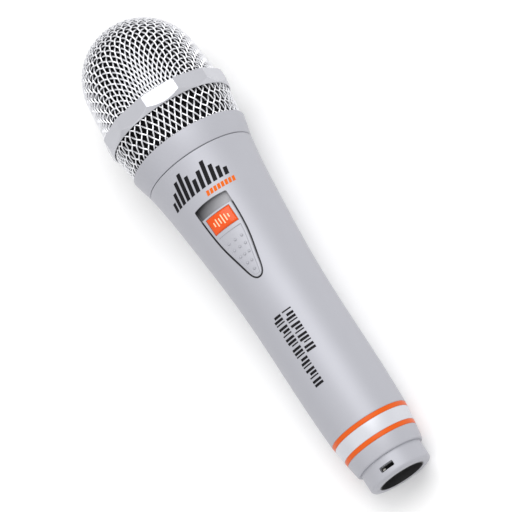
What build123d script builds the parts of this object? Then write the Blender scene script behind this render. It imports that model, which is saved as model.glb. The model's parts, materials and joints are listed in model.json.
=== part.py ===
from build123d import *
import math
import os

# Handheld dynamic microphone, in millimetres.
# +X runs along the body from the cable socket's mouth to the top of the grille,
# +Z points to the side that carries the slide switch, and the origin is the
# centre of the cable socket's mouth.

# ---------------------------------------------------------------- outer body
body_length = 132.3          # socket mouth to the seam under the grille
sleeve_length = 7.2          # bare tail sleeve
shoulder_length = 5.5        # tail cap's cone
stripe_width = 1.7           # each orange ring
band_width = 5.1             # light band between the orange rings
wall = 2.6                   # handle wall

sleeve_radius = 11.85
sleeve_edge = 1.3            # rounding of the tail sleeve's rim
shoulder_radius = 13.85      # tail cap where it meets the first orange ring
shoulder_drop = 0.9          # how much the cap narrows towards the sleeve
shoulder_edge = 0.7
grip_start_radius = 14.95    # handle at the second orange ring

# Handle outline: stations from the handle's tail end, then from the seam.
grip_stations = [(8.8, 15.28), (26.8, 15.52), (44.8, 15.60)]
flare_stations = [(49.8, 16.12), (33.8, 17.26), (17.7, 18.72), (6.3, 20.00)]
seam_radius = 21.0

# ---------------------------------------------------------------- grille head
collar_length = 8.3
collar_lip = 0.6             # collar's rim round the lower mesh
lower_mesh_length = 11.3
lower_mesh_taper = 1.35      # ring seat radius over the lower mesh's foot
ring_height = 6.4
ring_facets = 12
ring_wall = 0.5              # thinnest wall of the faceted ring
ring_bevel = 1.1             # lower bevel, measured in from the facets' corners
ring_bevel_height = 1.9
ring_rim = 0.5               # upper bevel
ring_turn = 2.5              # facets against the switch, set by how far the head is screwed on
dome_side = 13.7             # ring top to the centre of the dome's sphere
dome_radius = 22.4
dome_flare = 1.35            # dome foot radius over the dome radius
mesh_thickness = 1.0         # woven wire, two wires deep
mesh_seat = 1.6              # depth of each mesh edge in its seat
foam_thickness = 4.0
foam_gap = 0.3

# ---------------------------------------------------------------- neck thread
neck_radius = 17.9           # thread, kept as a plain cylinder
neck_seat_depth = 8.3
neck_height = 7.2            # thread above the seam
ledge_lip = 0.8              # handle's ledge inside the thread
neck_wall = 2.0
thread_clearance = 0.06
seam_gap = 0.15
gasket_width = 1.1
gasket_height = 1.2
gasket_gap = 0.1

# ---------------------------------------------------------------- tail and socket
socket_radius = 8.2
socket_depth = 14.8
insert_lip = 0.4             # black edge seen round the mouth
insert_lip_length = 1.0
insert_radius = 9.55
insert_base = 4.5
tail_bore_radius = 10.2
spigot_radius = 12.2
spigot_overlap = 3.2         # spigot length inside the tail cap
seat_clearance = 0.05        # pieces of one body that slide together
latch_width = 5.4
latch_length = 1.95
latch_start = 2.5
latch_corner = 0.3
key_width = 2.0
key_height = 0.9
key_angle = 45.0             # key rib, measured from the latch slot
key_length = 6.0
key_start = 0.4              # rib's end behind the mouth
key_root = 0.1               # rib sunk into the socket's wall
pin_radius = 1.18
pin_circle = 4.4
pin_tip = 4.6                # depth of the contact tips behind the mouth
pin_tail = 5.0
pin_angles = (60, 180, 300)  # round the axis from the latch's side
pin_nose = 0.7               # rounding of the tips
lug_thickness = 0.5
lug_tongue = 2.8             # width of the ground lug's tongue
lug_eye = 2.0                # radius of its eye
screw_radius = 1.0
screw_head_radius = 1.5
screw_head_height = 0.7
screw_sink = 0.4             # screw head below the tail cap's widest radius
screw_slot = 0.5             # width of its cross recess
screw_offset = 1.9           # screw's distance behind the first orange ring

# ---------------------------------------------------------------- slide switch
pocket_length = 32.1         # tip to top along the handle
pocket_half_width = 6.8
pocket_stations = [(0, 1.0), (16.2, 0.84), (26.6, 0.50)]  # drop from the top, share of half width
pocket_depth = 1.3
pocket_arch = 0.4
slider_gap = 0.35
slider_travel = 3.5
slider_rest_gap = 3.9        # bare pocket above the slider at rest
slider_proud = 0.15
slider_lift = 0.15           # gap under the slider
sweep_height = 6.0           # prisms that reach through the wall from the switch's plane
slider_post = (5.0, 4.0)
lever_size = (3.0, 2.0)
lever_gap = 0.05
lever_foot = 1.2             # lever inside the switch body
lever_pocket = 1.8           # depth of the post's pocket over the lever
lever_end_gap = 0.2
post_offset = -1.5           # post from the middle of the pocket
post_reach = 2.4             # post length below the slider
post_root = 0.1              # post sunk into the slider
badge_size = (6.3, 9.9)
badge_depth = 0.6
badge_crown = 0.35
badge_top_margin = 0.9
badge_corner = 0.4
badge_edge = 0.3             # rounding of its rim
dimple_radius = 0.62
dimple_crown = 0.25
dimple_rows = [(15.8, 2.75, 3), (12.8, 2.35, 3), (9.7, 1.85, 3), (6.6, 1.15, 2), (3.6, 0.0, 1)]
bracket_size = (25.0, 9.0)
bracket_thickness = 1.5
bracket_gap = 0.1            # under the handle's wall
switch_flange = (22.0, 7.0, 0.5)
switch_block = (12.0, 6.0, 5.0)
switch_screw_spacing = 18.0
switch_screw_radius = 0.95
switch_screw_head = (1.9, 1.1)
switch_screw_length = 1.7
tag_size = (0.5, 2.0, 3.0)
tag_pitch = 4.0

# ---------------------------------------------------------------- capsule
capsule_radius = 14.0
capsule_back_radius = 12.0
capsule_wall = 1.1
capsule_back_length = 12.0   # part of the housing inside the neck
capsule_front_length = 15.0
capsule_foot = 2.3           # housing's back end behind the seam
yoke_vent_radius = 0.5       # six vents through the yoke's floor
yoke_vent_circle = 8.7
mount_flange_inset = 1.1     # shock mount's flange inside the thread's radius
mount_flange = 2.5
yoke_radius = 12.8
yoke_gap_radius = 9.6
yoke_length = 7.0
yoke_base = 2.0
magnet_radius = 8.2
magnet_length = 3.6
pole_radius = 8.5
coil_radius = 8.85
coil_wall = 0.4
coil_length = 4.0
coil_overhang = 2.2          # coil above the pole's face
diaphragm_radius = 11.3
diaphragm_dome = 1.5
diaphragm_thickness = 0.15
clamp_radius = 11.7
clamp_height = 2.4
cap_thickness = 1.0
cap_hole_radius = 1.1
cap_hole_rings = [(3.6, 6), (8.0, 12)]  # ring radius, holes
screen_thickness = 0.4
felt_thickness = 1.4
board_radius = 6.0
board_thickness = 1.2
wire_radius = 0.5
wire_bend = 0.45             # share of the shorter run that a wire's bend takes up
joint_gap = 0.1              # solder between a wire's end and its tag or pin

# ---------------------------------------------------------------- derived places
stripe_one = sleeve_length + shoulder_length
band_start = stripe_one + stripe_width
stripe_two = band_start + band_width
handle_start = stripe_two + stripe_width
seam = body_length
collar_top = seam + collar_length
ring_bottom = collar_top + lower_mesh_length
ring_top = ring_bottom + ring_height
dome_centre = ring_top + dome_side
dome_foot_radius = dome_radius + dome_flare
ring_seat_radius = dome_foot_radius + seat_clearance
ring_apothem = ring_seat_radius + ring_wall
lower_foot_radius = dome_foot_radius - lower_mesh_taper
collar_top_radius = lower_foot_radius + collar_lip
neck_bore = neck_radius - neck_wall
ledge = seam - neck_seat_depth


def handle_points(inset):
    """Outline stations of the handle, set in by a wall or a pocket depth."""
    tail = [(handle_start, grip_start_radius - inset)]
    grip = [(handle_start + x, r - inset) for x, r in grip_stations]
    flare = [(seam - x, r - inset) for x, r in flare_stations]
    return tail + grip + flare


def inner_points(inset):
    """Stations of the handle's inner wall, up to the thread's ledge."""
    return handle_points(wall + inset)[1:-1] + [(ledge, neck_radius - ledge_lip - inset)]


def surface_slope():
    """Slope of the handle over the switch pocket, as rise over run."""
    (near, near_radius), (far, far_radius) = flare_stations[0], flare_stations[2]
    return (far_radius - near_radius) / (near - far)


def band_radius(x):
    """Radius of the tail's cone between the tail cap and the handle."""
    share = (x - stripe_one) / (handle_start - stripe_one)
    return shoulder_radius + share * (grip_start_radius - shoulder_radius)


def tube(start, end, inner, outer):
    """Plain ring round the X axis."""
    with BuildPart() as ring:
        with BuildSketch(Plane.YZ.offset(start)):
            Circle(outer)
            Circle(inner, mode=Mode.SUBTRACT)
        extrude(amount=end - start)
    return ring


def turned(points):
    """Solid turned round the X axis from an outline of straight lines."""
    with BuildPart() as piece:
        with BuildSketch(Plane.XZ):
            with BuildLine():
                Polyline(*points, close=True)
            make_face()
        revolve(axis=Axis.X)
    return piece


def save(builder, name):
    """Label a finished piece and write its STEP file."""
    builder.part.label = name
    export_step(builder.part, f"parts/{name}.step")


os.makedirs("parts", exist_ok=True)

# ---------------------------------------------------------------- switch frame
slope = math.atan(surface_slope())
pocket_tip = seam - flare_stations[0][0]
pocket_middle = pocket_tip + pocket_length * math.cos(slope) / 2
middle_radius = (flare_stations[0][1] + flare_stations[2][1]) / 2
along = (math.cos(slope), 0, math.sin(slope))
outward = (-math.sin(slope), 0, math.cos(slope))
switch_plane = Plane(origin=(pocket_middle, 0, middle_radius), x_dir=along, z_dir=outward)
pocket_low = -pocket_length / 2
slider_top = pocket_length / 2 - slider_rest_gap


def shield_outline(inset=0.0):
    """Shield-shaped outline, tip at the tail end, set in from the pocket's wall."""
    top = pocket_length / 2
    edge = [(top - drop, share * pocket_half_width - inset) for drop, share in pocket_stations]
    with BuildLine() as outline:
        side = Spline(*edge, (pocket_low + inset, 0), tangents=[(-1, -0.01), (0, -1)])
        mirror(side, about=Plane.XZ)
        ThreePointArc(edge[0], (top + pocket_arch, 0), (top, inset - pocket_half_width))
    return outline


with BuildPart() as pocket_core:
    with BuildSketch(Plane.XZ):
        with BuildLine():
            floor = Spline(*handle_points(pocket_depth))
            Polyline(floor @ 1, (floor @ 1).X * Vector(1, 0), (floor @ 0).X * Vector(1, 0), floor @ 0)
        make_face()
    revolve(axis=Axis.X)

with BuildPart() as pocket:
    with BuildSketch(switch_plane):
        add(shield_outline().line)
        make_face()
    extrude(amount=sweep_height, both=True)
    add(pocket_core.part, mode=Mode.SUBTRACT)

# ---------------------------------------------------------------- handle
with BuildPart() as handle_shell:
    with BuildSketch(Plane.XZ):
        with BuildLine():
            skin = Spline(*handle_points(0), (seam, seam_radius))
            inside = Spline(*reversed(inner_points(0)))
            Polyline(
                skin @ 1,
                (seam, neck_radius + seat_clearance),
                (ledge, neck_radius + seat_clearance),
                inside @ 0,
            )
            Polyline(
                inside @ 1,
                (handle_start + wall, tail_bore_radius),
                (stripe_one - spigot_overlap, tail_bore_radius),
                (stripe_one - spigot_overlap, spigot_radius),
                (handle_start, spigot_radius),
                skin @ 0,
            )
        make_face()
    revolve(axis=Axis.X)
    add(pocket.part, mode=Mode.SUBTRACT)
    slot_length = slider_post[0] + slider_travel + 2 * slider_gap
    slot_centre = post_offset + slider_travel / 2
    with BuildSketch(switch_plane):
        with Locations((slot_centre, 0)):
            Rectangle(slot_length, slider_post[1] + 2 * slider_gap)
    extrude(amount=sweep_height, both=True, mode=Mode.SUBTRACT)
    with BuildSketch(Plane.XY.offset(-spigot_radius)):
        with Locations((stripe_one - screw_offset, 0)):
            Circle(screw_radius + seat_clearance)
    extrude(amount=wall, mode=Mode.SUBTRACT)
save(handle_shell, "handle_shell")

# Orange rings and the light band slip over the tail spigot.
for name, start, length in [
    ("orange_ring_rear", stripe_one, stripe_width),
    ("accent_band", band_start, band_width),
    ("orange_ring_front", stripe_two, stripe_width),
]:
    bore = spigot_radius + seat_clearance
    ring = turned([
        (start, bore), (start, band_radius(start)),
        (start + length, band_radius(start + length)), (start + length, bore),
    ])
    save(ring, name)

with BuildPart() as tail_cap:
    with BuildSketch(Plane.XZ):
        with BuildLine():
            Polyline(
                (sleeve_length, tail_bore_radius),
                (sleeve_length, shoulder_radius - shoulder_drop),
                (stripe_one, shoulder_radius),
                (stripe_one, spigot_radius + seat_clearance),
                (stripe_one - spigot_overlap, spigot_radius + seat_clearance),
                (stripe_one - spigot_overlap, tail_bore_radius),
                close=True,
            )
        make_face()
    revolve(axis=Axis.X)
    rim = tail_cap.edges().filter_by(GeomType.CIRCLE).group_by(Axis.X)[0].sort_by(SortBy.RADIUS)[-1]
    fillet(rim, shoulder_edge)
    screw_floor = shoulder_radius - screw_head_height - screw_sink
    with BuildSketch(Plane.XY.offset(-screw_floor)):
        with Locations((stripe_one - screw_offset, 0)):
            Circle(screw_head_radius + seat_clearance)
    extrude(amount=-wall, mode=Mode.SUBTRACT)
    with BuildSketch(Plane.XY.offset(-screw_floor)):
        with Locations((stripe_one - screw_offset, 0)):
            Circle(screw_radius + seat_clearance)
    extrude(amount=wall, mode=Mode.SUBTRACT)
save(tail_cap, "tail_cap")

with BuildPart() as tail_screw:
    with BuildSketch(Plane.XY.offset(-screw_floor)):
        with Locations((stripe_one - screw_offset, 0)):
            Circle(screw_head_radius)
    extrude(amount=-screw_head_height)
    with BuildSketch(Plane.XY.offset(-screw_floor)):
        with Locations((stripe_one - screw_offset, 0)):
            Circle(screw_radius)
    extrude(amount=screw_floor - tail_bore_radius - seat_clearance)
    with BuildSketch(Plane.XY.offset(-screw_floor - screw_head_height)):
        with Locations((stripe_one - screw_offset, 0)):
            Rectangle(2 * screw_radius, screw_slot)
            Rectangle(screw_slot, 2 * screw_radius)
    extrude(amount=screw_head_height / 2, mode=Mode.SUBTRACT)
save(tail_screw, "tail_screw")

# ---------------------------------------------------------------- cable socket
insert_end = socket_depth + insert_base


def latch_slot():
    """Latch window cut radially through the top of the tail."""
    with BuildPart() as window:
        with BuildSketch(Plane.XY):
            with Locations((latch_start + latch_length / 2, 0)):
                RectangleRounded(latch_length, latch_width, latch_corner)
        extrude(amount=sleeve_radius + 1)
    return window


with BuildPart() as tail_sleeve:
    with BuildSketch(Plane.XZ):
        with BuildLine():
            Polyline(
                (0, socket_radius + insert_lip + seat_clearance),
                (0, sleeve_radius),
                (sleeve_length, sleeve_radius),
                (sleeve_length, tail_bore_radius - seat_clearance),
                (insert_end, tail_bore_radius - seat_clearance),
                (insert_end, insert_radius + seat_clearance),
                (insert_lip_length, insert_radius + seat_clearance),
                (insert_lip_length, socket_radius + insert_lip + seat_clearance),
                close=True,
            )
        make_face()
    revolve(axis=Axis.X)
    mouth = tail_sleeve.edges().filter_by(GeomType.CIRCLE).group_by(Axis.X)[0].sort_by(SortBy.RADIUS)[-1]
    fillet(mouth, sleeve_edge)
    add(latch_slot().part, mode=Mode.SUBTRACT)
save(tail_sleeve, "tail_sleeve")

pin_places = [
    (pin_circle * math.sin(math.radians(a)), pin_circle * math.cos(math.radians(a)))
    for a in pin_angles
]

with BuildPart() as connector_insert:
    with BuildSketch(Plane.XZ):
        with BuildLine():
            Polyline(
                (0, socket_radius),
                (0, socket_radius + insert_lip),
                (insert_lip_length + seat_clearance, socket_radius + insert_lip),
                (insert_lip_length + seat_clearance, insert_radius),
                (insert_end, insert_radius),
                (insert_end, 0),
                (socket_depth, 0),
                (socket_depth, socket_radius),
                close=True,
            )
        make_face()
    revolve(axis=Axis.X)
    with BuildSketch(Plane.YZ.offset(key_start)):
        with Locations(Rotation(0, 0, key_angle)):
            with Locations((0, socket_radius - key_height / 2 + key_root)):
                Rectangle(key_width, key_height + 2 * key_root)
    extrude(amount=key_length)
    add(latch_slot().part, mode=Mode.SUBTRACT)
    with BuildSketch(Plane.YZ.offset(socket_depth)):
        with Locations(*pin_places):
            Circle(pin_radius + seat_clearance)
    extrude(amount=insert_base, mode=Mode.SUBTRACT)
save(connector_insert, "connector_insert")

for name, (pin_y, pin_z) in zip(("pin_ground", "pin_cold", "pin_hot"), pin_places):
    with BuildPart() as contact_pin:
        with BuildSketch(Plane.YZ.offset(pin_tip)):
            with Locations((pin_y, pin_z)):
                Circle(pin_radius)
        extrude(amount=insert_end + pin_tail - pin_tip)
        fillet(contact_pin.edges().group_by(Axis.X)[0], pin_nose)
    save(contact_pin, name)

with BuildPart() as ground_lug:
    with BuildSketch(Plane.YZ.offset(insert_end)):
        with Locations(Rotation(0, 0, -pin_angles[0])):
            with Locations((0, (pin_circle + insert_radius) / 2)):
                Rectangle(lug_tongue, insert_radius - pin_circle)
            with Locations((0, pin_circle)):
                Circle(lug_eye)
                Circle(pin_radius + seat_clearance, mode=Mode.SUBTRACT)
    extrude(amount=lug_thickness)
save(ground_lug, "ground_lug")

# ---------------------------------------------------------------- switch pieces
slider_floor = pocket_depth - slider_lift
post_end = -slider_floor - post_reach

with BuildPart() as slider_skin:
    with BuildSketch(Plane.XZ):
        with BuildLine():
            top_line = Spline(*handle_points(-slider_proud)[3:])
            floor_line = Spline(*reversed(handle_points(slider_floor)[3:]))
            Line(top_line @ 1, floor_line @ 0)
            Line(floor_line @ 1, top_line @ 0)
        make_face()
    revolve(axis=Axis.X)


def dimple_places():
    """Centres of the grip bumps, sunk as the slider's top curves away."""
    places = []
    for row, spread, count in dimple_rows:
        for index in range(count):
            across = (index - (count - 1) / 2) * spread
            sag = across**2 / (2 * middle_radius)
            lift = slider_proud - dimple_radius + dimple_crown - sag
            places.append(switch_plane * Location((pocket_low + row, across, lift)))
    return places


with BuildPart() as slider:
    with BuildSketch(switch_plane):
        add(shield_outline(slider_gap).line)
        make_face()
        with Locations((slider_top + pocket_length / 2, 0)):
            Rectangle(pocket_length, 4 * pocket_half_width, mode=Mode.SUBTRACT)
    extrude(amount=sweep_height, both=True)
    add(slider_skin.part, mode=Mode.INTERSECT)
    badge_centre = slider_top - badge_top_margin - badge_size[0] / 2
    with BuildSketch(switch_plane.offset(slider_proud - badge_depth)):
        with Locations((badge_centre, 0)):
            Rectangle(badge_size[0] + 2 * seat_clearance, badge_size[1] + 2 * seat_clearance)
    extrude(amount=sweep_height, mode=Mode.SUBTRACT)
    with BuildSketch(switch_plane.offset(post_root - slider_floor)):
        with Locations((post_offset, 0)):
            Rectangle(*slider_post)
    extrude(amount=-post_reach - post_root)
    with BuildSketch(switch_plane.offset(post_end)):
        with Locations((post_offset, 0)):
            Rectangle(lever_size[0] + 2 * lever_gap, lever_size[1] + 2 * lever_gap)
    extrude(amount=lever_pocket, mode=Mode.SUBTRACT)
    with Locations(*dimple_places()):
        Sphere(dimple_radius)
save(slider, "slider")

with BuildPart() as slider_badge:
    with BuildSketch(switch_plane.offset(slider_proud - badge_depth)):
        with Locations((badge_centre, 0)):
            RectangleRounded(*badge_size, badge_corner)
    extrude(amount=badge_depth + badge_crown)
    fillet(slider_badge.faces().sort_by(Axis.Z)[-1].edges(), badge_edge)
save(slider_badge, "slider_badge")

bracket_top = -wall - bracket_gap
flange_top = bracket_top - bracket_thickness
block_top = flange_top - switch_flange[2]

with BuildPart() as bracket_room:
    with BuildSketch(Plane.XZ):
        with BuildLine():
            room = Spline(*inner_points(seat_clearance))
            Polyline(room @ 1, (room @ 1).X * Vector(1, 0), (room @ 0).X * Vector(1, 0), room @ 0)
        make_face()
    revolve(axis=Axis.X)

with BuildPart() as switch_bracket:
    with BuildSketch(switch_plane.offset(flange_top)):
        with Locations((slot_centre, 0)):
            Rectangle(*bracket_size)
            Rectangle(slot_length, slider_post[1] + 2 * slider_gap, mode=Mode.SUBTRACT)
            with GridLocations(switch_screw_spacing, 1, 2, 1):
                Circle(switch_screw_radius + seat_clearance, mode=Mode.SUBTRACT)
    extrude(amount=bracket_thickness + 1)
    add(bracket_room.part, mode=Mode.INTERSECT)
save(switch_bracket, "switch_bracket")

lever_slot = (lever_size[0] + slider_travel + 2 * slider_gap, lever_size[1] + 2 * slider_gap)

with BuildPart() as switch_body:
    with BuildSketch(switch_plane.offset(block_top)):
        with Locations((slot_centre, 0)):
            Rectangle(switch_flange[0], switch_flange[1])
            with GridLocations(switch_screw_spacing, 1, 2, 1):
                Circle(switch_screw_radius + 2 * seat_clearance, mode=Mode.SUBTRACT)
    extrude(amount=switch_flange[2])
    with BuildSketch(switch_plane.offset(block_top)):
        with Locations((slot_centre, 0)):
            Rectangle(switch_block[0], switch_block[1])
    extrude(amount=-switch_block[2])
    with BuildSketch(switch_plane.offset(flange_top)):
        with Locations((slot_centre, 0)):
            Rectangle(*lever_slot)
    extrude(amount=-switch_flange[2] - lever_foot - seat_clearance, mode=Mode.SUBTRACT)
save(switch_body, "switch_body")

with BuildPart() as switch_lever:
    with BuildSketch(switch_plane.offset(block_top - lever_foot)):
        with Locations((post_offset, 0)):
            Rectangle(*lever_size)
    extrude(amount=post_end + lever_pocket - lever_end_gap - block_top + lever_foot)
save(switch_lever, "switch_lever")

with BuildPart() as switch_screws:
    with BuildSketch(switch_plane.offset(block_top)):
        with Locations((slot_centre, 0)):
            with GridLocations(switch_screw_spacing, 1, 2, 1):
                Circle(switch_screw_head[0])
    extrude(amount=-switch_screw_head[1])
    with BuildSketch(switch_plane.offset(block_top)):
        with Locations((slot_centre, 0)):
            with GridLocations(switch_screw_spacing, 1, 2, 1):
                Circle(switch_screw_radius)
    extrude(amount=switch_screw_length)
save(switch_screws, "switch_screws")

tag_start = block_top - switch_block[2]
with BuildPart() as switch_tags:
    with BuildSketch(switch_plane.offset(tag_start)):
        with Locations((slot_centre, 0)):
            with GridLocations(tag_pitch, 1, 3, 1):
                Rectangle(tag_size[0], tag_size[1])
    extrude(amount=-tag_size[2])
save(switch_tags, "switch_tags")

# ---------------------------------------------------------------- neck and grille head
neck_top = seam + neck_height
save(tube(ledge, neck_top, neck_bore, neck_radius), "neck_sleeve")

collar_bore = neck_radius + thread_clearance
collar_floor = collar_top - mesh_seat - mesh_thickness
foot_taper = (collar_top_radius - seam_radius) * (collar_top - collar_floor) / collar_length
groove_radius = collar_bore + gasket_width + 2 * gasket_gap
groove_end = seam + gasket_height + 2 * gasket_gap

with BuildPart() as neck_collar:
    with BuildSketch(Plane.XZ):
        with BuildLine():
            Polyline(
                (seam + seam_gap, groove_radius),
                (seam + seam_gap, seam_radius),
                (collar_top, collar_top_radius),
                (collar_top, lower_foot_radius + seat_clearance),
                (collar_floor, lower_foot_radius + seat_clearance - foot_taper),
                (collar_floor, collar_bore),
                (groove_end, collar_bore),
                (groove_end, groove_radius),
                close=True,
            )
        make_face()
    revolve(axis=Axis.X)
save(neck_collar, "neck_collar")

gasket_inner = collar_bore + gasket_gap
save(
    tube(seam + gasket_gap, seam + gasket_gap + gasket_height, gasket_inner, gasket_inner + gasket_width),
    "neck_gasket",
)

mesh_foot = collar_floor + seat_clearance
ring_rib = ring_bottom + mesh_seat + seat_clearance
ring_rib_top = ring_top - mesh_seat - seat_clearance

with BuildPart() as grille_lower:
    with BuildSketch(Plane.XZ):
        with BuildLine():
            Polyline(
                (mesh_foot, lower_foot_radius - foot_taper),
                (collar_top, lower_foot_radius),
                (ring_bottom, dome_foot_radius),
                (ring_bottom + mesh_seat, dome_foot_radius),
                (ring_bottom + mesh_seat, dome_foot_radius - mesh_thickness),
                (ring_bottom, dome_foot_radius - mesh_thickness),
                (collar_top, lower_foot_radius - mesh_thickness),
                (mesh_foot, lower_foot_radius - foot_taper - mesh_thickness),
                close=True,
            )
        make_face()
    revolve(axis=Axis.X)
save(grille_lower, "grille_lower")

# Turned cone and rim that bevel the ring's facets, as on a nut.
ring_corner = ring_apothem / math.cos(math.pi / ring_facets)
ring_turning = turned([
    (ring_bottom, 0), (ring_bottom, ring_corner - ring_bevel),
    (ring_bottom + ring_bevel_height, ring_corner), (ring_top - ring_rim, ring_corner),
    (ring_top, ring_corner - ring_rim), (ring_top, 0),
])

with BuildPart() as grille_ring:
    with BuildSketch(Plane.YZ.offset(ring_bottom)):
        RegularPolygon(ring_apothem, ring_facets, major_radius=False, rotation=ring_turn)
    extrude(amount=ring_height)
    add(ring_turning.part, mode=Mode.INTERSECT)
    with BuildSketch(Plane.YZ.offset(ring_bottom)):
        Circle(ring_seat_radius)
    extrude(amount=ring_height, mode=Mode.SUBTRACT)
    with BuildSketch(Plane.YZ.offset(ring_rib)):
        Circle(ring_seat_radius + ring_wall / 2)
        Circle(ring_seat_radius - mesh_thickness - 0.3, mode=Mode.SUBTRACT)
    extrude(amount=ring_rib_top - ring_rib)
save(grille_ring, "grille_ring")


def dome_arc(foot_x, foot_radius, radius):
    """Straight side from the foot, tangent to the dome's sphere, then the sphere to its top."""
    span = math.hypot(dome_centre - foot_x, foot_radius)
    touch = math.atan2(foot_radius, foot_x - dome_centre) - math.acos(radius / span)
    start = (dome_centre + radius * math.cos(touch), radius * math.sin(touch))
    middle = (dome_centre + radius * math.cos(touch / 2), radius * math.sin(touch / 2))
    return start, middle, (dome_centre + radius, 0)


dome_edge = ring_top - mesh_seat
with BuildPart() as grille_dome:
    with BuildSketch(Plane.XZ):
        with BuildLine():
            outer = dome_arc(ring_top, dome_foot_radius, dome_radius)
            inner = dome_arc(ring_top, dome_foot_radius - mesh_thickness, dome_radius - mesh_thickness)
            Polyline((dome_edge, dome_foot_radius), (ring_top, dome_foot_radius), outer[0])
            ThreePointArc(*outer)
            Line(outer[2], inner[2])
            ThreePointArc(*inner)
            Polyline(
                inner[0],
                (ring_top, dome_foot_radius - mesh_thickness),
                (dome_edge, dome_foot_radius - mesh_thickness),
                (dome_edge, dome_foot_radius),
            )
        make_face()
    revolve(axis=Axis.X)
save(grille_dome, "grille_dome")

foam_outer_foot = lower_foot_radius - mesh_thickness - foam_gap
foam_outer_ring = dome_foot_radius - mesh_thickness - 2 * foam_gap
with BuildPart() as foam_liner:
    with BuildSketch(Plane.XZ):
        with BuildLine():
            skin_radius = dome_radius - mesh_thickness - foam_gap
            outer = dome_arc(ring_top, foam_outer_ring, skin_radius)
            inner = dome_arc(ring_top, foam_outer_ring - foam_thickness, skin_radius - foam_thickness)
            Polyline(
                (mesh_foot, foam_outer_foot - foot_taper), (collar_top, foam_outer_foot),
                (ring_top, foam_outer_ring), outer[0],
            )
            ThreePointArc(*outer)
            Line(outer[2], inner[2])
            ThreePointArc(*inner)
            Polyline(
                inner[0],
                (ring_top, foam_outer_ring - foam_thickness),
                (collar_top, neck_radius + 2 * foam_gap),
                (mesh_foot, neck_radius + 2 * foam_gap),
                (mesh_foot, foam_outer_foot - foot_taper),
            )
        make_face()
    revolve(axis=Axis.X)
save(foam_liner, "foam_liner")

# ---------------------------------------------------------------- capsule
back_end = seam - capsule_foot
front_start = back_end + capsule_back_length
capsule_front = front_start + capsule_front_length
housing_bore = capsule_radius - capsule_wall
back_bore = capsule_back_radius - capsule_wall

with BuildPart() as capsule_housing:
    with BuildSketch(Plane.XZ):
        with BuildLine():
            Polyline(
                (back_end, 0), (back_end, capsule_back_radius),
                (front_start, capsule_back_radius), (front_start, capsule_radius),
                (capsule_front - cap_thickness, capsule_radius),
                (capsule_front - cap_thickness, housing_bore),
                (front_start + capsule_wall, housing_bore), (front_start + capsule_wall, back_bore),
                (back_end + capsule_wall, back_bore), (back_end + capsule_wall, 0),
                close=True,
            )
        make_face()
    revolve(axis=Axis.X)
save(capsule_housing, "capsule_housing")

mount_inner = capsule_back_radius + seat_clearance
with BuildPart() as shock_mount:
    with BuildSketch(Plane.XZ):
        with BuildLine():
            Polyline(
                (seam, mount_inner), (seam, neck_bore - seat_clearance),
                (neck_top + seat_clearance, neck_bore - seat_clearance),
                (neck_top + seat_clearance, neck_radius - mount_flange_inset),
                (front_start - seat_clearance, neck_radius - mount_flange_inset),
                (front_start - seat_clearance, mount_inner),
                close=True,
            )
        make_face()
    revolve(axis=Axis.X)
save(shock_mount, "shock_mount")

felt_start = front_start + capsule_wall
yoke_start = felt_start + felt_thickness
yoke_top = yoke_start + yoke_length
magnet_start = yoke_start + yoke_base
pole_start = magnet_start + magnet_length

save(tube(felt_start, yoke_start, back_bore / 2, housing_bore - seat_clearance), "acoustic_felt")

with BuildPart() as yoke_pot:
    with BuildSketch(Plane.YZ.offset(yoke_start)):
        Circle(yoke_radius)
    extrude(amount=yoke_length)
    with BuildSketch(Plane.YZ.offset(magnet_start)):
        Circle(yoke_gap_radius)
    extrude(amount=yoke_length, mode=Mode.SUBTRACT)
    with BuildSketch(Plane.YZ.offset(yoke_start)):
        with PolarLocations(yoke_vent_circle, 6):
            Circle(yoke_vent_radius)
    extrude(amount=yoke_base, mode=Mode.SUBTRACT)
save(yoke_pot, "yoke_pot")

with BuildPart() as magnet:
    with BuildSketch(Plane.YZ.offset(magnet_start)):
        Circle(magnet_radius)
    extrude(amount=magnet_length)
save(magnet, "magnet")

with BuildPart() as pole_piece:
    with BuildSketch(Plane.YZ.offset(pole_start)):
        Circle(pole_radius)
    extrude(amount=yoke_top - pole_start)
save(pole_piece, "pole_piece")

coil_top = yoke_top + coil_overhang
save(tube(coil_top - coil_length, coil_top, coil_radius, coil_radius + coil_wall), "voice_coil")

with BuildPart() as diaphragm:
    with BuildSketch(Plane.XZ):
        with BuildLine():
            sphere = (coil_radius**2 + diaphragm_dome**2) / (2 * diaphragm_dome)
            half_way = math.sqrt(sphere**2 - coil_radius**2 / 4) - sphere
            front = coil_top + diaphragm_thickness
            ThreePointArc(
                (coil_top, coil_radius),
                (coil_top + diaphragm_dome + half_way, coil_radius / 2),
                (coil_top + diaphragm_dome, 0),
            )
            Line((coil_top + diaphragm_dome, 0), (front + diaphragm_dome, 0))
            ThreePointArc(
                (front + diaphragm_dome, 0),
                (front + diaphragm_dome + half_way, coil_radius / 2),
                (front, coil_radius),
            )
            Polyline(
                (front, coil_radius), (front, diaphragm_radius),
                (coil_top, diaphragm_radius), (coil_top, coil_radius),
            )
        make_face()
    revolve(axis=Axis.X)
save(diaphragm, "diaphragm")

save(tube(yoke_top, yoke_top + clamp_height, clamp_radius, housing_bore - seat_clearance), "diaphragm_clamp")

with BuildPart() as capsule_cap:
    with BuildSketch(Plane.YZ.offset(capsule_front - cap_thickness)):
        Circle(capsule_radius)
        for ring_radius, holes in cap_hole_rings:
            with PolarLocations(ring_radius, holes):
                Circle(cap_hole_radius, mode=Mode.SUBTRACT)
        Circle(cap_hole_radius, mode=Mode.SUBTRACT)
    extrude(amount=cap_thickness)
save(capsule_cap, "capsule_cap")

with BuildPart() as capsule_screen:
    with BuildSketch(Plane.YZ.offset(capsule_front - cap_thickness - screen_thickness)):
        Circle(housing_bore - seat_clearance)
    extrude(amount=screen_thickness)
save(capsule_screen, "capsule_screen")

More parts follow.
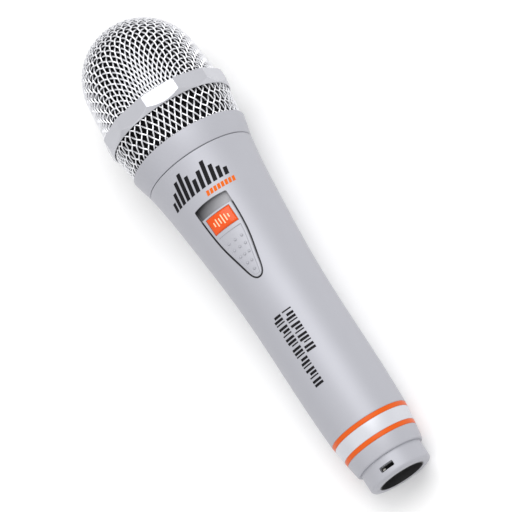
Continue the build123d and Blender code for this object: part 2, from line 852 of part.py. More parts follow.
board_start = back_end - board_thickness
with BuildPart() as terminal_board:
    with BuildSketch(Plane.YZ.offset(board_start)):
        Circle(board_radius)
    extrude(amount=board_thickness)
save(terminal_board, "terminal_board")

tag_spread = 2 * board_radius / 3
with BuildPart() as solder_tags:
    with BuildSketch(Plane.YZ.offset(board_start)):
        with GridLocations(tag_spread, 1, 2, 1):
            Rectangle(tag_size[0], tag_size[1])
    extrude(amount=-tag_size[2])
save(solder_tags, "solder_tags")

# ---------------------------------------------------------------- wires


def wire(points):
    """Round wire along straight runs joined by tangent arcs, as large as the runs allow."""
    radii = []
    for before, corner, after in zip(points, points[1:], points[2:]):
        first = Vector(*corner) - Vector(*before)
        second = Vector(*after) - Vector(*corner)
        half_turn = math.radians(first.get_angle(second)) / 2
        radii.append(wire_bend * min(first.length, second.length) / math.tan(half_turn))
    print("wire radii", [round(r, 1) for r in radii])
    with BuildPart() as strand:
        with BuildLine() as route:
            FilletPolyline(*points, radius=radii)
        with BuildSketch(Plane(origin=route.line @ 0, z_dir=route.line % 0)):
            Circle(wire_radius)
        sweep()
    return strand


def tag_place(index):
    """Free end of one switch tag, in the row frame."""
    at = switch_plane * Location((slot_centre + index * tag_pitch, 0, tag_start - tag_size[2] - joint_gap))
    return at.position


capsule_end = board_start - tag_size[2] - joint_gap
socket_end = insert_end + pin_tail + joint_gap
tag_side = tag_spread / 2
(cold_y, cold_z), (hot_y, hot_z) = pin_places[1:]

hot_tag = tag_place(1)
capsule_wire = wire([
    (capsule_end, tag_side, 0),
    (capsule_end - 8, tag_side, -0.5),
    (hot_tag.X + 7, 0.5 * tag_side, hot_tag.Z - 10),
    (hot_tag.X, 0, hot_tag.Z - 7),
    (hot_tag.X, 0, hot_tag.Z),
])
save(capsule_wire, "capsule_wire")

switch_tag = tag_place(0)
output_wire = wire([
    (switch_tag.X, 0, switch_tag.Z),
    (switch_tag.X, 0, switch_tag.Z - 6),
    (switch_tag.X - 7, -0.8, switch_tag.Z - 9),
    (switch_tag.X - 19, -1.6, switch_tag.Z - 7.5),
    (socket_end + 30, -3.0, hot_z + 1.6),
    (socket_end + 12, hot_y - 0.3, hot_z + 0.6),
    (socket_end, hot_y, hot_z),
])
save(output_wire, "output_wire")

return_wire = wire([
    (capsule_end, -tag_side, 0),
    (capsule_end - 10, -tag_side - 0.3, -1.6),
    (capsule_end - 25, -tag_side, -6.8),
    (capsule_end - 55, -tag_side / 2, -7.2),
    (socket_end + 15, 0.2, cold_z - 0.8),
    (socket_end, cold_y, cold_z),
])
save(return_wire, "return_wire")
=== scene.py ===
import json
import math

import bmesh
import bpy
import numpy as np
from mathutils import Matrix, Vector, noise


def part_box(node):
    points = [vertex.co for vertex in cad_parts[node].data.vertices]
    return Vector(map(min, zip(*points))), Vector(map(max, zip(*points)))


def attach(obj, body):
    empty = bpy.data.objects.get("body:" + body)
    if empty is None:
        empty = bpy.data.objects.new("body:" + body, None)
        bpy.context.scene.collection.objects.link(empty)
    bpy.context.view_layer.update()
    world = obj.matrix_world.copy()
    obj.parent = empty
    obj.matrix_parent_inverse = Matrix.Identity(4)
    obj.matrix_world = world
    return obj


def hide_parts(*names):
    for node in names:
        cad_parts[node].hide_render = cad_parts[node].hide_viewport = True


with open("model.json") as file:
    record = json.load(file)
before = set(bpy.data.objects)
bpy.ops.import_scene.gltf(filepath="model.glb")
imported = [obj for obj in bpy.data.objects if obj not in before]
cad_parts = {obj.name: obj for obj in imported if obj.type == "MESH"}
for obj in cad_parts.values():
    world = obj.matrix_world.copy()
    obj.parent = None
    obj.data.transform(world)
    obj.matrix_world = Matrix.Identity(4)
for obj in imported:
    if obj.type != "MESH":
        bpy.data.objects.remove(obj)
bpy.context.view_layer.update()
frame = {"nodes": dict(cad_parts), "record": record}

# Looks of a handheld dynamic microphone. The body runs along +X from the cable
# socket to the top of the grille, and +Z is the side with the slide switch.
# Lengths are in millimetres until a mesh is made.

MM = 0.001

# ---------------------------------------------------------------- sizes
GRIP_START_RADIUS = 14.95
GRIP_STATIONS = [(8.8, 15.28), (26.8, 15.52), (44.8, 15.60)]      # from the front stripe, radius
FLARE_STATIONS = [(49.8, 16.12), (33.8, 17.26), (17.7, 18.72), (6.3, 20.00)]  # from the seam, radius
SEAM_RADIUS = 21.0
HANDLE_WALL = 2.6
SEAM_EDGE = 0.4
STRIPE_EDGE = 0.18

THREAD_RADIUS = 17.9
THREAD_PITCH = 1.5
THREAD_DEPTH = 0.45
THREAD_BORE = 15.9
SEAL_GROOVE, SEAL_LENGTH = 1.36, 1.25  # room for the rubber seal round the thread
COLLAR_LIP = 0.6              # collar's edge outside the basket's foot
COLLAR_EDGE = 0.28

SHOULDER_RADIUS = 13.85
SHOULDER_DROP = 0.9
SHOULDER_EDGE = 0.7
SPIGOT_RADIUS = 12.25
TAIL_BORE = 10.2
SLEEVE_RADIUS = 11.85
SLEEVE_EDGE = 1.3
SLEEVE_MOUTH = 8.65
SLEEVE_BORE = 9.6
SCREW_OFFSET = 1.9
SCREW_HEAD, SCREW_SHANK = 1.55, 1.05
SCREW_FLOOR = 12.75
LATCH_START, LATCH_LENGTH, LATCH_WIDTH = 2.5, 1.95, 5.4

POCKET_LENGTH = 32.1
POCKET_HALF_WIDTH = 6.8
POCKET_STATIONS = [(0, 1.0), (16.2, 0.84), (26.6, 0.50)]          # drop from the top, share of the half width
POCKET_ARCH = 0.4
POCKET_DEPTH = 1.3
POCKET_LIP = 0.2              # rounding of its edge
POCKET_FOOT = 0.35            # rounding between its wall and its floor
POCKET_CLEAR = 3.0            # height at which its cutting tool is clear of the skin
POCKET_HUB = 4.0              # where the floor's rows of points meet, from its middle
SLOT_SIZE = (9.2, 4.7)
SLOT_MIDDLE = 0.25
SLIDER_GAP = 0.42
SLIDER_REST_GAP = 3.9
SLIDER_PROUD = 0.15
SLIDER_FLOOR = 1.15
SLIDER_EDGE = 0.4
PANEL_INSET = 1.05            # frame round the panel with the bumps
PANEL_TOP = 19.4              # from the pocket's tip
PANEL_DEPTH = 0.3
PANEL_STEP = 0.3
BADGE_SIZE = (6.3, 9.9)
BADGE_MARGIN = 0.9
BADGE_FLOOR = 0.45
BADGE_CROWN = 0.35
BADGE_EDGE = 0.5              # width of its rounded edge
BADGE_FALLS = (0.35, 0.3)     # share of the dome's height lost towards its ends and its sides
BUMP_ROWS = [(15.8, 2.75, 3), (12.8, 2.35, 3), (9.7, 1.85, 3), (6.6, 1.8, 2), (3.6, 0.0, 1)]
BUMP_RADIUS = 0.54
BUMP_RISE = 0.5

RING_FACETS = 12
RING_APOTHEM = 24.3
RING_BEVEL, RING_BEVEL_HEIGHT = 1.1, 1.9
RING_RIM = 0.5
RING_TURN = 2.5
RING_SEAT = 23.8              # radius that the nets' edges sit in
RING_LEDGE = 1.3              # of the web between the two nets

WIRE = 0.66                   # diameter of the grille's wire
DOME_RADIUS = 22.4
DOME_PITCH = 2.3
DOME_FLARE = math.radians(24) # lean of the cone that stands in for the dome's side while the net is laid
BASKET_THREADS = 52           # threads each way round the basket
BASKET_LEAN = math.radians(32.0)       # of the threads from the body's axis
BASKET_LEAN_SWING = math.radians(6.5)  # less than that in front of the slanting cells, more between them
MESH_SEAT = 1.6
NET_TURN = math.radians(57.7) # dome's threads run straight down here, from +Z towards -Y
FOAM_INSET = 1.35             # foam's face under the outside of the wire
FOAM_THICKNESS = 4.0
FOAM_CELL = 1.1
FOAM_PIT = 0.55
MARK_THICKNESS = 0.03
METER_BARS = (3.2, 5.4, 8.0, 9.6, 7.2, 4.6, 6.4, 8.6, 6.0, 4.2, 2.8)
METER_LEAN = 0.22             # arc that its bars shift by per millimetre along the body
TICK_ROWS = [(-0.6, 12), (-5.1, 20)]   # arc from the switch's middle, ticks
TICK_START, TICK_STEP, TICK_LENGTH = 67.8, 1.45, 3.7
BADGE_BARS, BADGE_BAR_STEP = (1.4, 2.6, 3.6, 2.2, 3.0, 1.6), 1.2


# ---------------------------------------------------------------- places from the frame
def span(node):
    """Start and end of a node along the body."""
    low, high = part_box(node)
    return low.x / MM, high.x / MM


def reach(node):
    """Largest radius of a turned node."""
    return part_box(node)[1].y / MM


sleeve_end = span("tail_cap")[0]
insert_end = span("tail_sleeve")[1]
stripe_rear = span("orange_ring_rear")
band = span("accent_band")
stripe_front = span("orange_ring_front")
handle_start = stripe_front[1]
handle_low, seam = span("handle_shell")
collar = span("neck_collar")
ring = span("grille_ring")
neck = span("neck_sleeve")
mesh_foot = span("grille_lower")[0]
apex = span("grille_dome")[1]
dome_foot_radius = reach("grille_dome")
collar_top_radius = reach("neck_collar")
basket_foot_radius = collar_top_radius - COLLAR_LIP
dome_centre = apex - DOME_RADIUS


# ---------------------------------------------------------------- curves
def smooth_line(points, samples, start=None, end=None):
    """Cubic spline through points in the plane, with free or given end directions."""
    points = np.array(points, float)
    step = np.hypot(*np.diff(points, axis=0).T)
    at = np.concatenate([[0], np.cumsum(step)])
    last = len(points) - 1
    matrix, right = np.zeros((last + 1, last + 1)), np.zeros((last + 1, 2))
    for i in range(1, last):
        matrix[i, i - 1:i + 2] = step[i], 2 * (step[i - 1] + step[i]), step[i - 1]
        right[i] = 3 * (step[i] * (points[i] - points[i - 1]) / step[i - 1]
                        + step[i - 1] * (points[i + 1] - points[i]) / step[i])
    matrix[0, :2], right[0] = ((1, 0), start) if start else ((2, 1), 3 * (points[1] - points[0]) / step[0])
    matrix[last, -2:], right[last] = ((0, 1), end) if end else (
        (1, 2), 3 * (points[-1] - points[-2]) / step[-1])
    slopes = np.linalg.solve(matrix, right)
    where = np.linspace(0, at[-1], samples)
    piece = np.clip(np.searchsorted(at, where, side="right") - 1, 0, last - 1)
    t, h = ((where - at[piece]) / step[piece])[:, None], step[piece][:, None]
    return ((2 * t**3 - 3 * t**2 + 1) * points[piece] + (t**3 - 2 * t**2 + t) * h * slopes[piece]
            + (3 * t**2 - 2 * t**3) * points[piece + 1] + (t**3 - t**2) * h * slopes[piece + 1])


def rounded(corners, steps=6):
    """Closed outline from (x, radius) or (x, radius, rounding) corners."""
    outline = []
    for before, corner, after in zip(corners[-1:] + corners[:-1], corners, corners[1:] + corners[:1]):
        here = np.array(corner[:2], float)
        if len(corner) == 2:
            outline.append(here)
            continue
        to_before, to_after = (np.array(p[:2], float) - here for p in (before, after))
        to_before, to_after = to_before / np.hypot(*to_before), to_after / np.hypot(*to_after)
        half = math.acos(max(-1, min(1, float(to_before @ to_after)))) / 2
        inwards = (to_before + to_after) / np.hypot(*(to_before + to_after))
        middle = here + inwards * corner[2] / math.sin(half)
        first = here + to_before * corner[2] / math.tan(half) - middle
        last = here + to_after * corner[2] / math.tan(half) - middle
        turn = math.atan2(first[0] * last[1] - first[1] * last[0], first @ last)
        for i in range(steps + 1):
            c, s = math.cos(turn * i / steps), math.sin(turn * i / steps)
            outline.append(middle + np.array([c * first[0] - s * first[1], s * first[0] + c * first[1]]))
    return outline


handle_stations = ([(handle_start, GRIP_START_RADIUS)]
                   + [(handle_start + x, r) for x, r in GRIP_STATIONS]
                   + [(seam - x, r) for x, r in FLARE_STATIONS] + [(seam, SEAM_RADIUS)])
handle_line = smooth_line(handle_stations, 140)


def handle_radius(x):
    """Radius of the handle's outside."""
    return np.interp(x, handle_line[:, 0], handle_line[:, 1])


def around(x, radius, turn):
    """Points by place along the body, radius and turn from the switch's middle towards -Y."""
    return np.stack(np.broadcast_arrays(x, -radius * np.sin(turn), radius * np.cos(turn)), axis=-1)


def round_handle(x, arc, height=0.0):
    """Point on the handle at an arc's length from the switch's middle towards -Y."""
    return around(x, handle_radius(x) + height, arc / handle_radius(x))


(slope_start, slope_start_radius), (slope_end, slope_end_radius) = FLARE_STATIONS[0], FLARE_STATIONS[2]
slope = math.atan((slope_end_radius - slope_start_radius) / (slope_start - slope_end))
pocket_middle = seam - slope_start + POCKET_LENGTH * math.cos(slope) / 2
pocket_top, pocket_tip = POCKET_LENGTH / 2, -POCKET_LENGTH / 2
slider_top = pocket_top - SLIDER_REST_GAP
badge_middle = slider_top - BADGE_MARGIN - BADGE_SIZE[0] / 2


# ---------------------------------------------------------------- meshes
def linked(name, data):
    """New object in the scene that carries some data."""
    made = bpy.data.objects.new(name, data)
    bpy.context.scene.collection.objects.link(made)
    return made


def new_piece(name, points, faces, finish=None):
    """Object from points in millimetres and faces, with its normals turned outwards."""
    mesh = bpy.data.meshes.new(name)
    mesh.from_pydata([tuple(p) for p in np.array(points, float) * MM], [], [tuple(f) for f in faces])
    return tidy_piece(name, mesh, finish)


def tidy_piece(name, mesh, finish=None, sharp=32.0, merge=1e-7):
    """Object from a mesh, merged, closed normals outwards, smooth but for its sharp edges."""
    work = bmesh.new()
    work.from_mesh(mesh)
    bmesh.ops.remove_doubles(work, verts=work.verts, dist=merge)
    bmesh.ops.recalc_face_normals(work, faces=work.faces)
    work.to_mesh(mesh)
    work.free()
    mesh.shade_smooth()
    mesh.set_sharp_from_angle(angle=math.radians(sharp))
    mesh.name = name
    if finish:
        mesh.materials.clear()
        mesh.materials.append(finish.material)
    return linked(name, mesh)


def grid_faces(rows, columns, closed_rows=False, closed_columns=False, start=0):
    """Four-sided faces over points laid out row by row."""
    faces = []
    for i in range(rows if closed_rows else rows - 1):
        for j in range(columns if closed_columns else columns - 1):
            a, b = i * columns, (i + 1) % rows * columns
            k = (j + 1) % columns
            faces.append((start + a + j, start + a + k, start + b + k, start + b + j))
    return faces


def turned(name, outline, finish=None, sides=192):
    """Closed outline turned round the body's axis."""
    outline = np.array(outline, float)
    angles = np.arange(sides) * 2 * math.pi / sides
    points = around(outline[:, :1], outline[:, 1:], angles).reshape(-1, 3)
    return new_piece(name, points, grid_faces(len(outline), sides, True, True), finish)


def evaluated(piece):
    """The piece with its modifiers worked into its mesh."""
    bpy.context.view_layer.update()
    depsgraph = bpy.context.evaluated_depsgraph_get()
    mesh = bpy.data.meshes.new_from_object(piece.evaluated_get(depsgraph), depsgraph=depsgraph)
    piece.modifiers.clear()
    piece.data = mesh
    mesh.name = piece.name
    return piece


def cut(piece, *tools):
    """Takes the tools out of a piece."""
    for tool in tools:
        modifier = piece.modifiers.new("cut", "BOOLEAN")
        modifier.operation, modifier.solver, modifier.object = "DIFFERENCE", "EXACT", tool
        modifier.material_mode = "TRANSFER"
        evaluated(piece)
        bpy.data.objects.remove(tool)
    return piece


def bevelled(piece, width, segments=2, angle=25.0):
    """Rounds a piece's sharp edges."""
    modifier = piece.modifiers.new("edges", "BEVEL")
    modifier.width, modifier.segments = width * MM, segments
    modifier.limit_method, modifier.angle_limit = "ANGLE", math.radians(angle)
    modifier.harden_normals = True
    return evaluated(piece)


def remade(name, made, finish, sharp=28.0, merge=1e-6):
    """Piece from a body that has been cut or needs other sharp edges, and takes that body's place."""
    piece = tidy_piece(name, made.data, finish, sharp, merge)
    bpy.data.objects.remove(made)
    return piece


def place(piece, body, slot, *nodes):
    """Rides a piece on a body and hides the CAD nodes it stands for; its slot is not used."""
    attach(piece, body)
    if nodes:
        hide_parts(*nodes)
    return piece


def block(name, centre, size):
    """Plain closed box, used as a cutting tool."""
    corners = [np.array(centre) + np.array([x, y, z]) * np.array(size) / 2
               for x in (-1, 1) for y in (-1, 1) for z in (-1, 1)]
    sides = [(0, 1, 3, 2), (4, 6, 7, 5), (0, 4, 5, 1), (2, 3, 7, 6), (0, 2, 6, 4), (1, 5, 7, 3)]
    return new_piece(name, corners, sides)


# ---------------------------------------------------------------- finishes
class Value:
    """A shader socket. Operators on it add Math nodes."""

    def __init__(self, finish, socket):
        self.finish, self.socket = finish, socket

    def maths(self, operation, *values):
        """Math node over this and other values."""
        return self.finish.node("ShaderNodeMath", {"operation": operation}, dict(enumerate(values)))

    def __add__(self, other):
        return self.maths("ADD", self, other)

    def __sub__(self, other):
        return self.maths("SUBTRACT", self, other)

    def __rsub__(self, other):
        return self.maths("SUBTRACT", other, self)

    def __mul__(self, other):
        return self.maths("MULTIPLY", self, other)

    def __gt__(self, other):
        return self.maths("GREATER_THAN", self, other)

    __radd__, __rmul__ = __add__, __mul__

    def sine(self):
        return self.maths("SINE", self)


class Finish:
    """One material and the nodes that make its surface."""

    def __init__(self, name):
        self.material = bpy.data.materials.new(name)
        self.material.use_nodes = True
        self.tree = self.material.node_tree
        self.tree.nodes.clear()
        self.place = self.node("ShaderNodeTexCoord", output="Object")

    def node(self, kind, settings=None, sockets=None, output=0):
        """Adds a node: its settings first, then the values or links of its sockets."""
        made = self.tree.nodes.new(kind)
        for name, value in (settings or {}).items():
            setattr(made, name, value)
        for name, value in (sockets or {}).items():
            if isinstance(value, Value):
                self.tree.links.new(value.socket, made.inputs[name])
            else:
                made.inputs[name].default_value = value
        return Value(self, made.outputs[output])

    def noise(self, size, detail=2.0, roughness=0.5, squeeze=None):
        """Cloudy pattern whose lumps are about that many millimetres across; an axis can be squeezed."""
        place = self.place
        if squeeze:
            place = self.node("ShaderNodeMapping", None, {"Vector": place, "Scale": squeeze})
        return self.node("ShaderNodeTexNoise", None, {
            "Vector": place, "Scale": 1 / (size * MM), "Detail": detail, "Roughness": roughness})

    def grains(self, size, feature="F1", output="Distance"):
        """Cells of about that many millimetres."""
        return self.node("ShaderNodeTexVoronoi", {"feature": feature},
                         {"Vector": self.place, "Scale": 1 / (size * MM)}, output)

    def axis(self, which):
        """One coordinate in millimetres."""
        return self.node("ShaderNodeSeparateXYZ", None, {0: self.place}, which) * (1 / MM)

    def blend(self, share, first, second):
        """Colour between two colours."""
        def colour(c):
            return c if isinstance(c, Value) else (*c, 1)
        return self.node("ShaderNodeMix", {"data_type": "RGBA"},
                         {0: share, 6: colour(first), 7: colour(second)}, 2)

    def bump(self, height, depth, strength=1.0):
        """Fine relief of that depth in millimetres."""
        return self.node("ShaderNodeBump", None,
                         {"Height": height, "Distance": depth * MM, "Strength": strength})

    def surface(self, colour, roughness, **more):
        """Ends the material in its shader. More holds its other sockets, by name."""
        sockets = {"Base Color": colour, "Roughness": roughness}
        sockets.update({name.replace("_", " "): value for name, value in more.items()})
        shader = self.node("ShaderNodeBsdfPrincipled", None, sockets)
        out = self.tree.nodes.new("ShaderNodeOutputMaterial")
        self.tree.links.new(shader.socket, out.inputs["Surface"])
        return self


def silver_paint():
    """Satin metallic lacquer: fine flakes under a thin clear coat."""
    paint = Finish("silver_paint")
    flake = paint.grains(0.11, output="Color")
    tone = paint.node("ShaderNodeRGBToBW", None, {0: flake})
    mottle = paint.noise(9.0, 3)
    shade = tone * 0.16 + mottle * 0.12
    colour = paint.blend(shade + 0.36, (0.365, 0.368, 0.405), (0.45, 0.453, 0.49))
    relief = paint.bump(tone + paint.noise(0.5), 0.004, 0.3)
    return paint.surface(colour, tone * 0.08 + 0.47, Metallic=0.28, Normal=relief,
                         Specular_IOR_Level=0.35, Coat_Weight=0.05, Coat_Roughness=0.4)


def recess_painted_shade():
    """Satin lacquer in the recess under the slide switch, with painted shade: darker towards the pocket's top
    and its +Y side, near black where the slider covers it at rest.
    """
    paint = Finish("recess_painted_shade")
    mottle = paint.noise(2.5, 4)
    along = paint.axis("X") - (pocket_middle + pocket_top)
    # Painted shade: near black where the slider covers the pocket at rest, darker towards the pocket's top
    # and its +Y side.
    open_end = along > -SLIDER_REST_GAP - 0.3
    painted_light_share = (along * -0.12 - paint.axis("Y") * 0.07 + 0.25) * open_end
    colour = paint.blend(mottle * 0.15 + painted_light_share, (0.03, 0.03, 0.034), (0.34, 0.34, 0.36))
    relief = paint.bump(paint.noise(0.4), 0.01, 0.4)
    return paint.surface(colour, mottle * 0.15 + 0.5, Metallic=0.2, Normal=relief)


def clouded(name, cloud, colours, roughness, relief, **more):
    """Finish whose tone drifts with one noise and whose fine relief follows another.

    Cloud is the first noise. Relief is its depth, its strength and the second noise, or nothing for
    the same one. Roughness is its least value and the shares that each noise adds.
    """
    finish = Finish(name)
    drift = finish.noise(*cloud)
    depth, strength, *fine = relief
    grain = finish.noise(*fine) if fine else drift
    least, by_drift, by_grain = roughness
    gloss = drift * by_drift + grain * by_grain + least
    colour = finish.blend(drift, *colours)
    return finish.surface(colour, gloss, Normal=finish.bump(grain, depth, strength), **more)


def worked_metal(name, dark, light, roughness, grain=0.3):
    """Plated or turned metal with fine tool marks round the body."""
    return clouded(name, (5.0, 3), (dark, light), (roughness, 0, 0.15),
                   (0.006, 0.4, grain, 4, 0.6, (4, 1, 1)), Metallic=1.0)


def printed_ink(name, dark, light):
    """Screen-printed ink with a slightly uneven film."""
    return clouded(name, (0.35, 3), (dark, light), (0.55, 0.15, 0), (0.006, 0.5), Specular_IOR_Level=0.12)


def light_band():
    """Pale lacquered band."""
    paint = Finish("light_band")
    flake = paint.node("ShaderNodeRGBToBW", None, {0: paint.grains(0.09, output="Color")})
    mottle = paint.noise(6.0, 3)
    colour = paint.blend(flake * 0.4 + mottle * 0.3, (0.53, 0.54, 0.58), (0.60, 0.61, 0.65))
    return paint.surface(colour, flake * 0.06 + 0.36, Metallic=0.2, Normal=paint.bump(flake, 0.003, 0.3),
                         Coat_Weight=0.1, Coat_Roughness=0.25)


def black_plastic():
    """Fine-grained moulded black plastic."""
    plastic = Finish("black_plastic")
    grain = plastic.grains(0.28)
    tone = plastic.noise(4.0, 3)
    colour = plastic.blend(tone, (0.012, 0.012, 0.013), (0.028, 0.028, 0.030))
    return plastic.surface(colour, grain * 0.2 + 0.38, Normal=plastic.bump(grain, 0.02, 0.5))


def open_foam():
    """Dark open-cell foam, its pores coloured darker than their walls as painted shade in the hollows."""
    foam = Finish("open_foam")
    pore = foam.grains(0.75, "DISTANCE_TO_EDGE")
    wall = foam.node("ShaderNodeMapRange", None, {"Value": pore, "From Min": 0.0, "From Max": 0.28,
                                                  "To Min": 1.0, "To Max": 0.0})
    colour = foam.blend(wall, (0.0015, 0.0015, 0.002), (0.011, 0.011, 0.013))
    return foam.surface(colour, 0.95, Specular_IOR_Level=0.1, Normal=foam.bump(wall, 0.35, 0.9))


def coil_copper():
    """Enamelled winding: fine turns side by side along the body, coloured darker in the grooves between them
    as painted shade.
    """
    copper = Finish("coil_copper")
    turns = (copper.axis("X") * 42.0).sine() * 0.5 + 0.5
    return copper.surface(copper.blend(turns, (0.30, 0.11, 0.04), (0.78, 0.40, 0.20)), 0.3, Metallic=0.85,
                          Normal=copper.bump(turns, 0.03, 0.7))


silver = silver_paint()
recess_shade_finish = recess_painted_shade()
band_finish = light_band()
ring_finish = clouded(
    "ring_metal", (7.0, 2), ((0.47, 0.474, 0.51), (0.51, 0.514, 0.55)), (0.22, 0, 0.04),
    (0.0006, 0.2, 0.25, 2), Metallic=0.42)
wire_finish = clouded(
    "mesh_wire", (1.6, 3), ((0.76, 0.765, 0.795), (0.90, 0.905, 0.93)), (0.22, 0.1, 0.1),
    (0.004, 0.4, 0.08, 2), Metallic=0.88)
orange = clouded(
    "orange_plastic", (3.0, 4, 0.6, (3, 1, 1)), ((0.62, 0.080, 0.001), (0.70, 0.105, 0.003)), (0.32, 0.1, 0),
    (0.004, 0.4, 0.4), Specular_IOR_Level=0.25)
resin = clouded(
    "orange_resin", (2.5, 3), ((0.66, 0.060, 0.0005), (0.74, 0.085, 0.002)), (0.3, 0.05, 0),
    (0.01, 0.2, 1.5), Coat_Weight=0.3, Coat_Roughness=0.04, Specular_IOR_Level=0.2)
symbol_ink = clouded(
    "badge_ink", (0.3, 2), ((0.78, 0.55, 0.33), (0.85, 0.65, 0.44)), (0.4, 0.1, 0),
    (0.01, 0.4), Specular_IOR_Level=0.3)
black_ink = printed_ink("black_ink", (0.004, 0.004, 0.005), (0.012, 0.012, 0.014))
orange_ink = printed_ink("orange_ink", (0.64, 0.11, 0.006), (0.72, 0.14, 0.012))
foam_finish = open_foam()
plated_steel = worked_metal("plated_steel", (0.50, 0.50, 0.51), (0.68, 0.68, 0.70), 0.24)

rubber = clouded(
    "rubber", (1.2, 4, 0.65), ((0.012, 0.012, 0.012), (0.035, 0.034, 0.033)), (0.68, 0.2, 0),
    (0.02, 0.6, 0.25))
felt = clouded(
    "felt", (0.5, 6, 0.75, (1, 2.4, 0.7)), ((0.20, 0.18, 0.15), (0.52, 0.48, 0.41)), (0.95, 0, 0),
    (0.12, 0.8))
clear_film = clouded(
    "clear_film", (1.5, 3), ((0.62, 0.62, 0.58), (0.80, 0.80, 0.77)), (0.15, 0.1, 0), (0.01, 0.5), Alpha=0.7)
wire_cover = clouded(
    "wire_cover", (0.6, 3), ((0.02, 0.02, 0.022), (0.05, 0.05, 0.055)), (0.42, 0.15, 0), (0.02, 0.4))

carried_finishes = {
    "silver_paint": silver, "steel_mesh": wire_finish, "light_band": band_finish, "orange_ring": orange,
    "orange_badge": resin, "black_plastic": black_plastic(), "rubber": rubber, "foam": foam_finish,
    "felt": felt, "steel": plated_steel, "copper_coil": coil_copper(), "film": clear_film,
    "wire_cover": wire_cover,
    "brass": worked_metal("brass", (0.55, 0.38, 0.13), (0.76, 0.57, 0.26), 0.25),
    # Pins coloured darker than bright nickel: painted shade, so the pin seen through the latch window stays
    # dark.
    "nickel_pin": worked_metal("nickel_pin", (0.34, 0.33, 0.30), (0.46, 0.45, 0.42), 0.2, 0.2),
    "magnet": worked_metal("magnet_plate", (0.16, 0.16, 0.17), (0.30, 0.30, 0.32), 0.3, 0.6),
}


def paint_carried_nodes():
    """Gives every CAD node the finish of its slot."""
    for part in frame["record"]["subparts"]:
        mesh = frame["nodes"][part["node"]].data
        mesh.materials.clear()
        mesh.materials.append(carried_finishes[part["material_slot"]].material)


# ---------------------------------------------------------------- geometry trees
class Tree:
    """A Geometry Nodes tree with named inputs, used on one piece and then worked into its mesh."""

    def __init__(self, name, **inputs):
        self.tree = bpy.data.node_groups.new(name, "GeometryNodeTree")
        self.tree.interface.new_socket("Geometry", in_out="INPUT", socket_type="NodeSocketGeometry")
        self.tree.interface.new_socket("Geometry", in_out="OUTPUT", socket_type="NodeSocketGeometry")
        self.sockets = {
            label: self.tree.interface.new_socket(label, in_out="INPUT", socket_type=kind)
            for label, kind in inputs.items()
        }
        self.entry = self.tree.nodes.new("NodeGroupInput")

    def given(self, label):
        """Socket of a named input."""
        return self.entry.outputs[label]

    def node(self, kind, settings=None, sockets=None, output=0):
        """Adds a node: its settings first, then the values or links of its sockets."""
        made = self.tree.nodes.new(kind)
        for name, value in (settings or {}).items():
            setattr(made, name, value)
        for name, value in (sockets or {}).items():
            if isinstance(value, bpy.types.NodeSocket):
                self.tree.links.new(value, made.inputs[name])
            else:
                made.inputs[name].default_value = value
        return made.outputs[output]

    def ends(self, shape):
        """Realizes the shape, gives it its finish and sends it out."""
        real = self.node("GeometryNodeRealizeInstances", None, {0: shape})
        smooth = self.node("GeometryNodeSetShadeSmooth", None, {0: real})
        painted = self.node("GeometryNodeSetMaterial", None, {0: smooth, "Material": self.given("Finish")})
        out = self.tree.nodes.new("NodeGroupOutput")
        self.tree.links.new(painted, out.inputs[0])

    def work(self, piece, **values):
        """Runs the tree on a piece and keeps the result as its mesh."""
        modifier = piece.modifiers.new("grow", "NODES")
        modifier.node_group = self.tree
        for label, value in values.items():
            modifier[self.sockets[label].identifier] = value
        return evaluated(piece)


def wire_tree():
    """Sweeps a round wire along every edge chain."""
    tree = Tree("woven_wire", Radius="NodeSocketFloat", Sides="NodeSocketInt", Finish="NodeSocketMaterial")
    strand = tree.node("GeometryNodeMeshToCurve", None, {0: tree.given("Geometry")})
    section = tree.node("GeometryNodeCurvePrimitiveCircle", None,
                        {"Resolution": tree.given("Sides"), "Radius": tree.given("Radius")})
    tree.ends(tree.node("GeometryNodeCurveToMesh", None,
                        {"Curve": strand, "Profile Curve": section, "Fill Caps": True}))
    return tree


def bump_tree():
    """Sets a flattened ball on every point, turned to the direction stored there."""
    tree = Tree("grip_bumps", Radius="NodeSocketFloat", Rise="NodeSocketFloat", Finish="NodeSocketMaterial")
    ball = tree.node("GeometryNodeMeshUVSphere", None,
                     {"Segments": 20, "Rings": 12, "Radius": tree.given("Radius")})
    lean = tree.node("GeometryNodeInputNamedAttribute", {"data_type": "FLOAT_VECTOR"}, {"Name": "lean"})
    turn = tree.node("FunctionNodeAlignRotationToVector", {"axis": "Z"}, {"Vector": lean})
    flat = tree.node("ShaderNodeCombineXYZ", None, {0: 1.0, 1: 1.0, 2: tree.given("Rise")})
    tree.ends(tree.node("GeometryNodeInstanceOnPoints", None, {
        "Points": tree.given("Geometry"), "Instance": ball, "Rotation": turn, "Scale": flat}))
    return tree


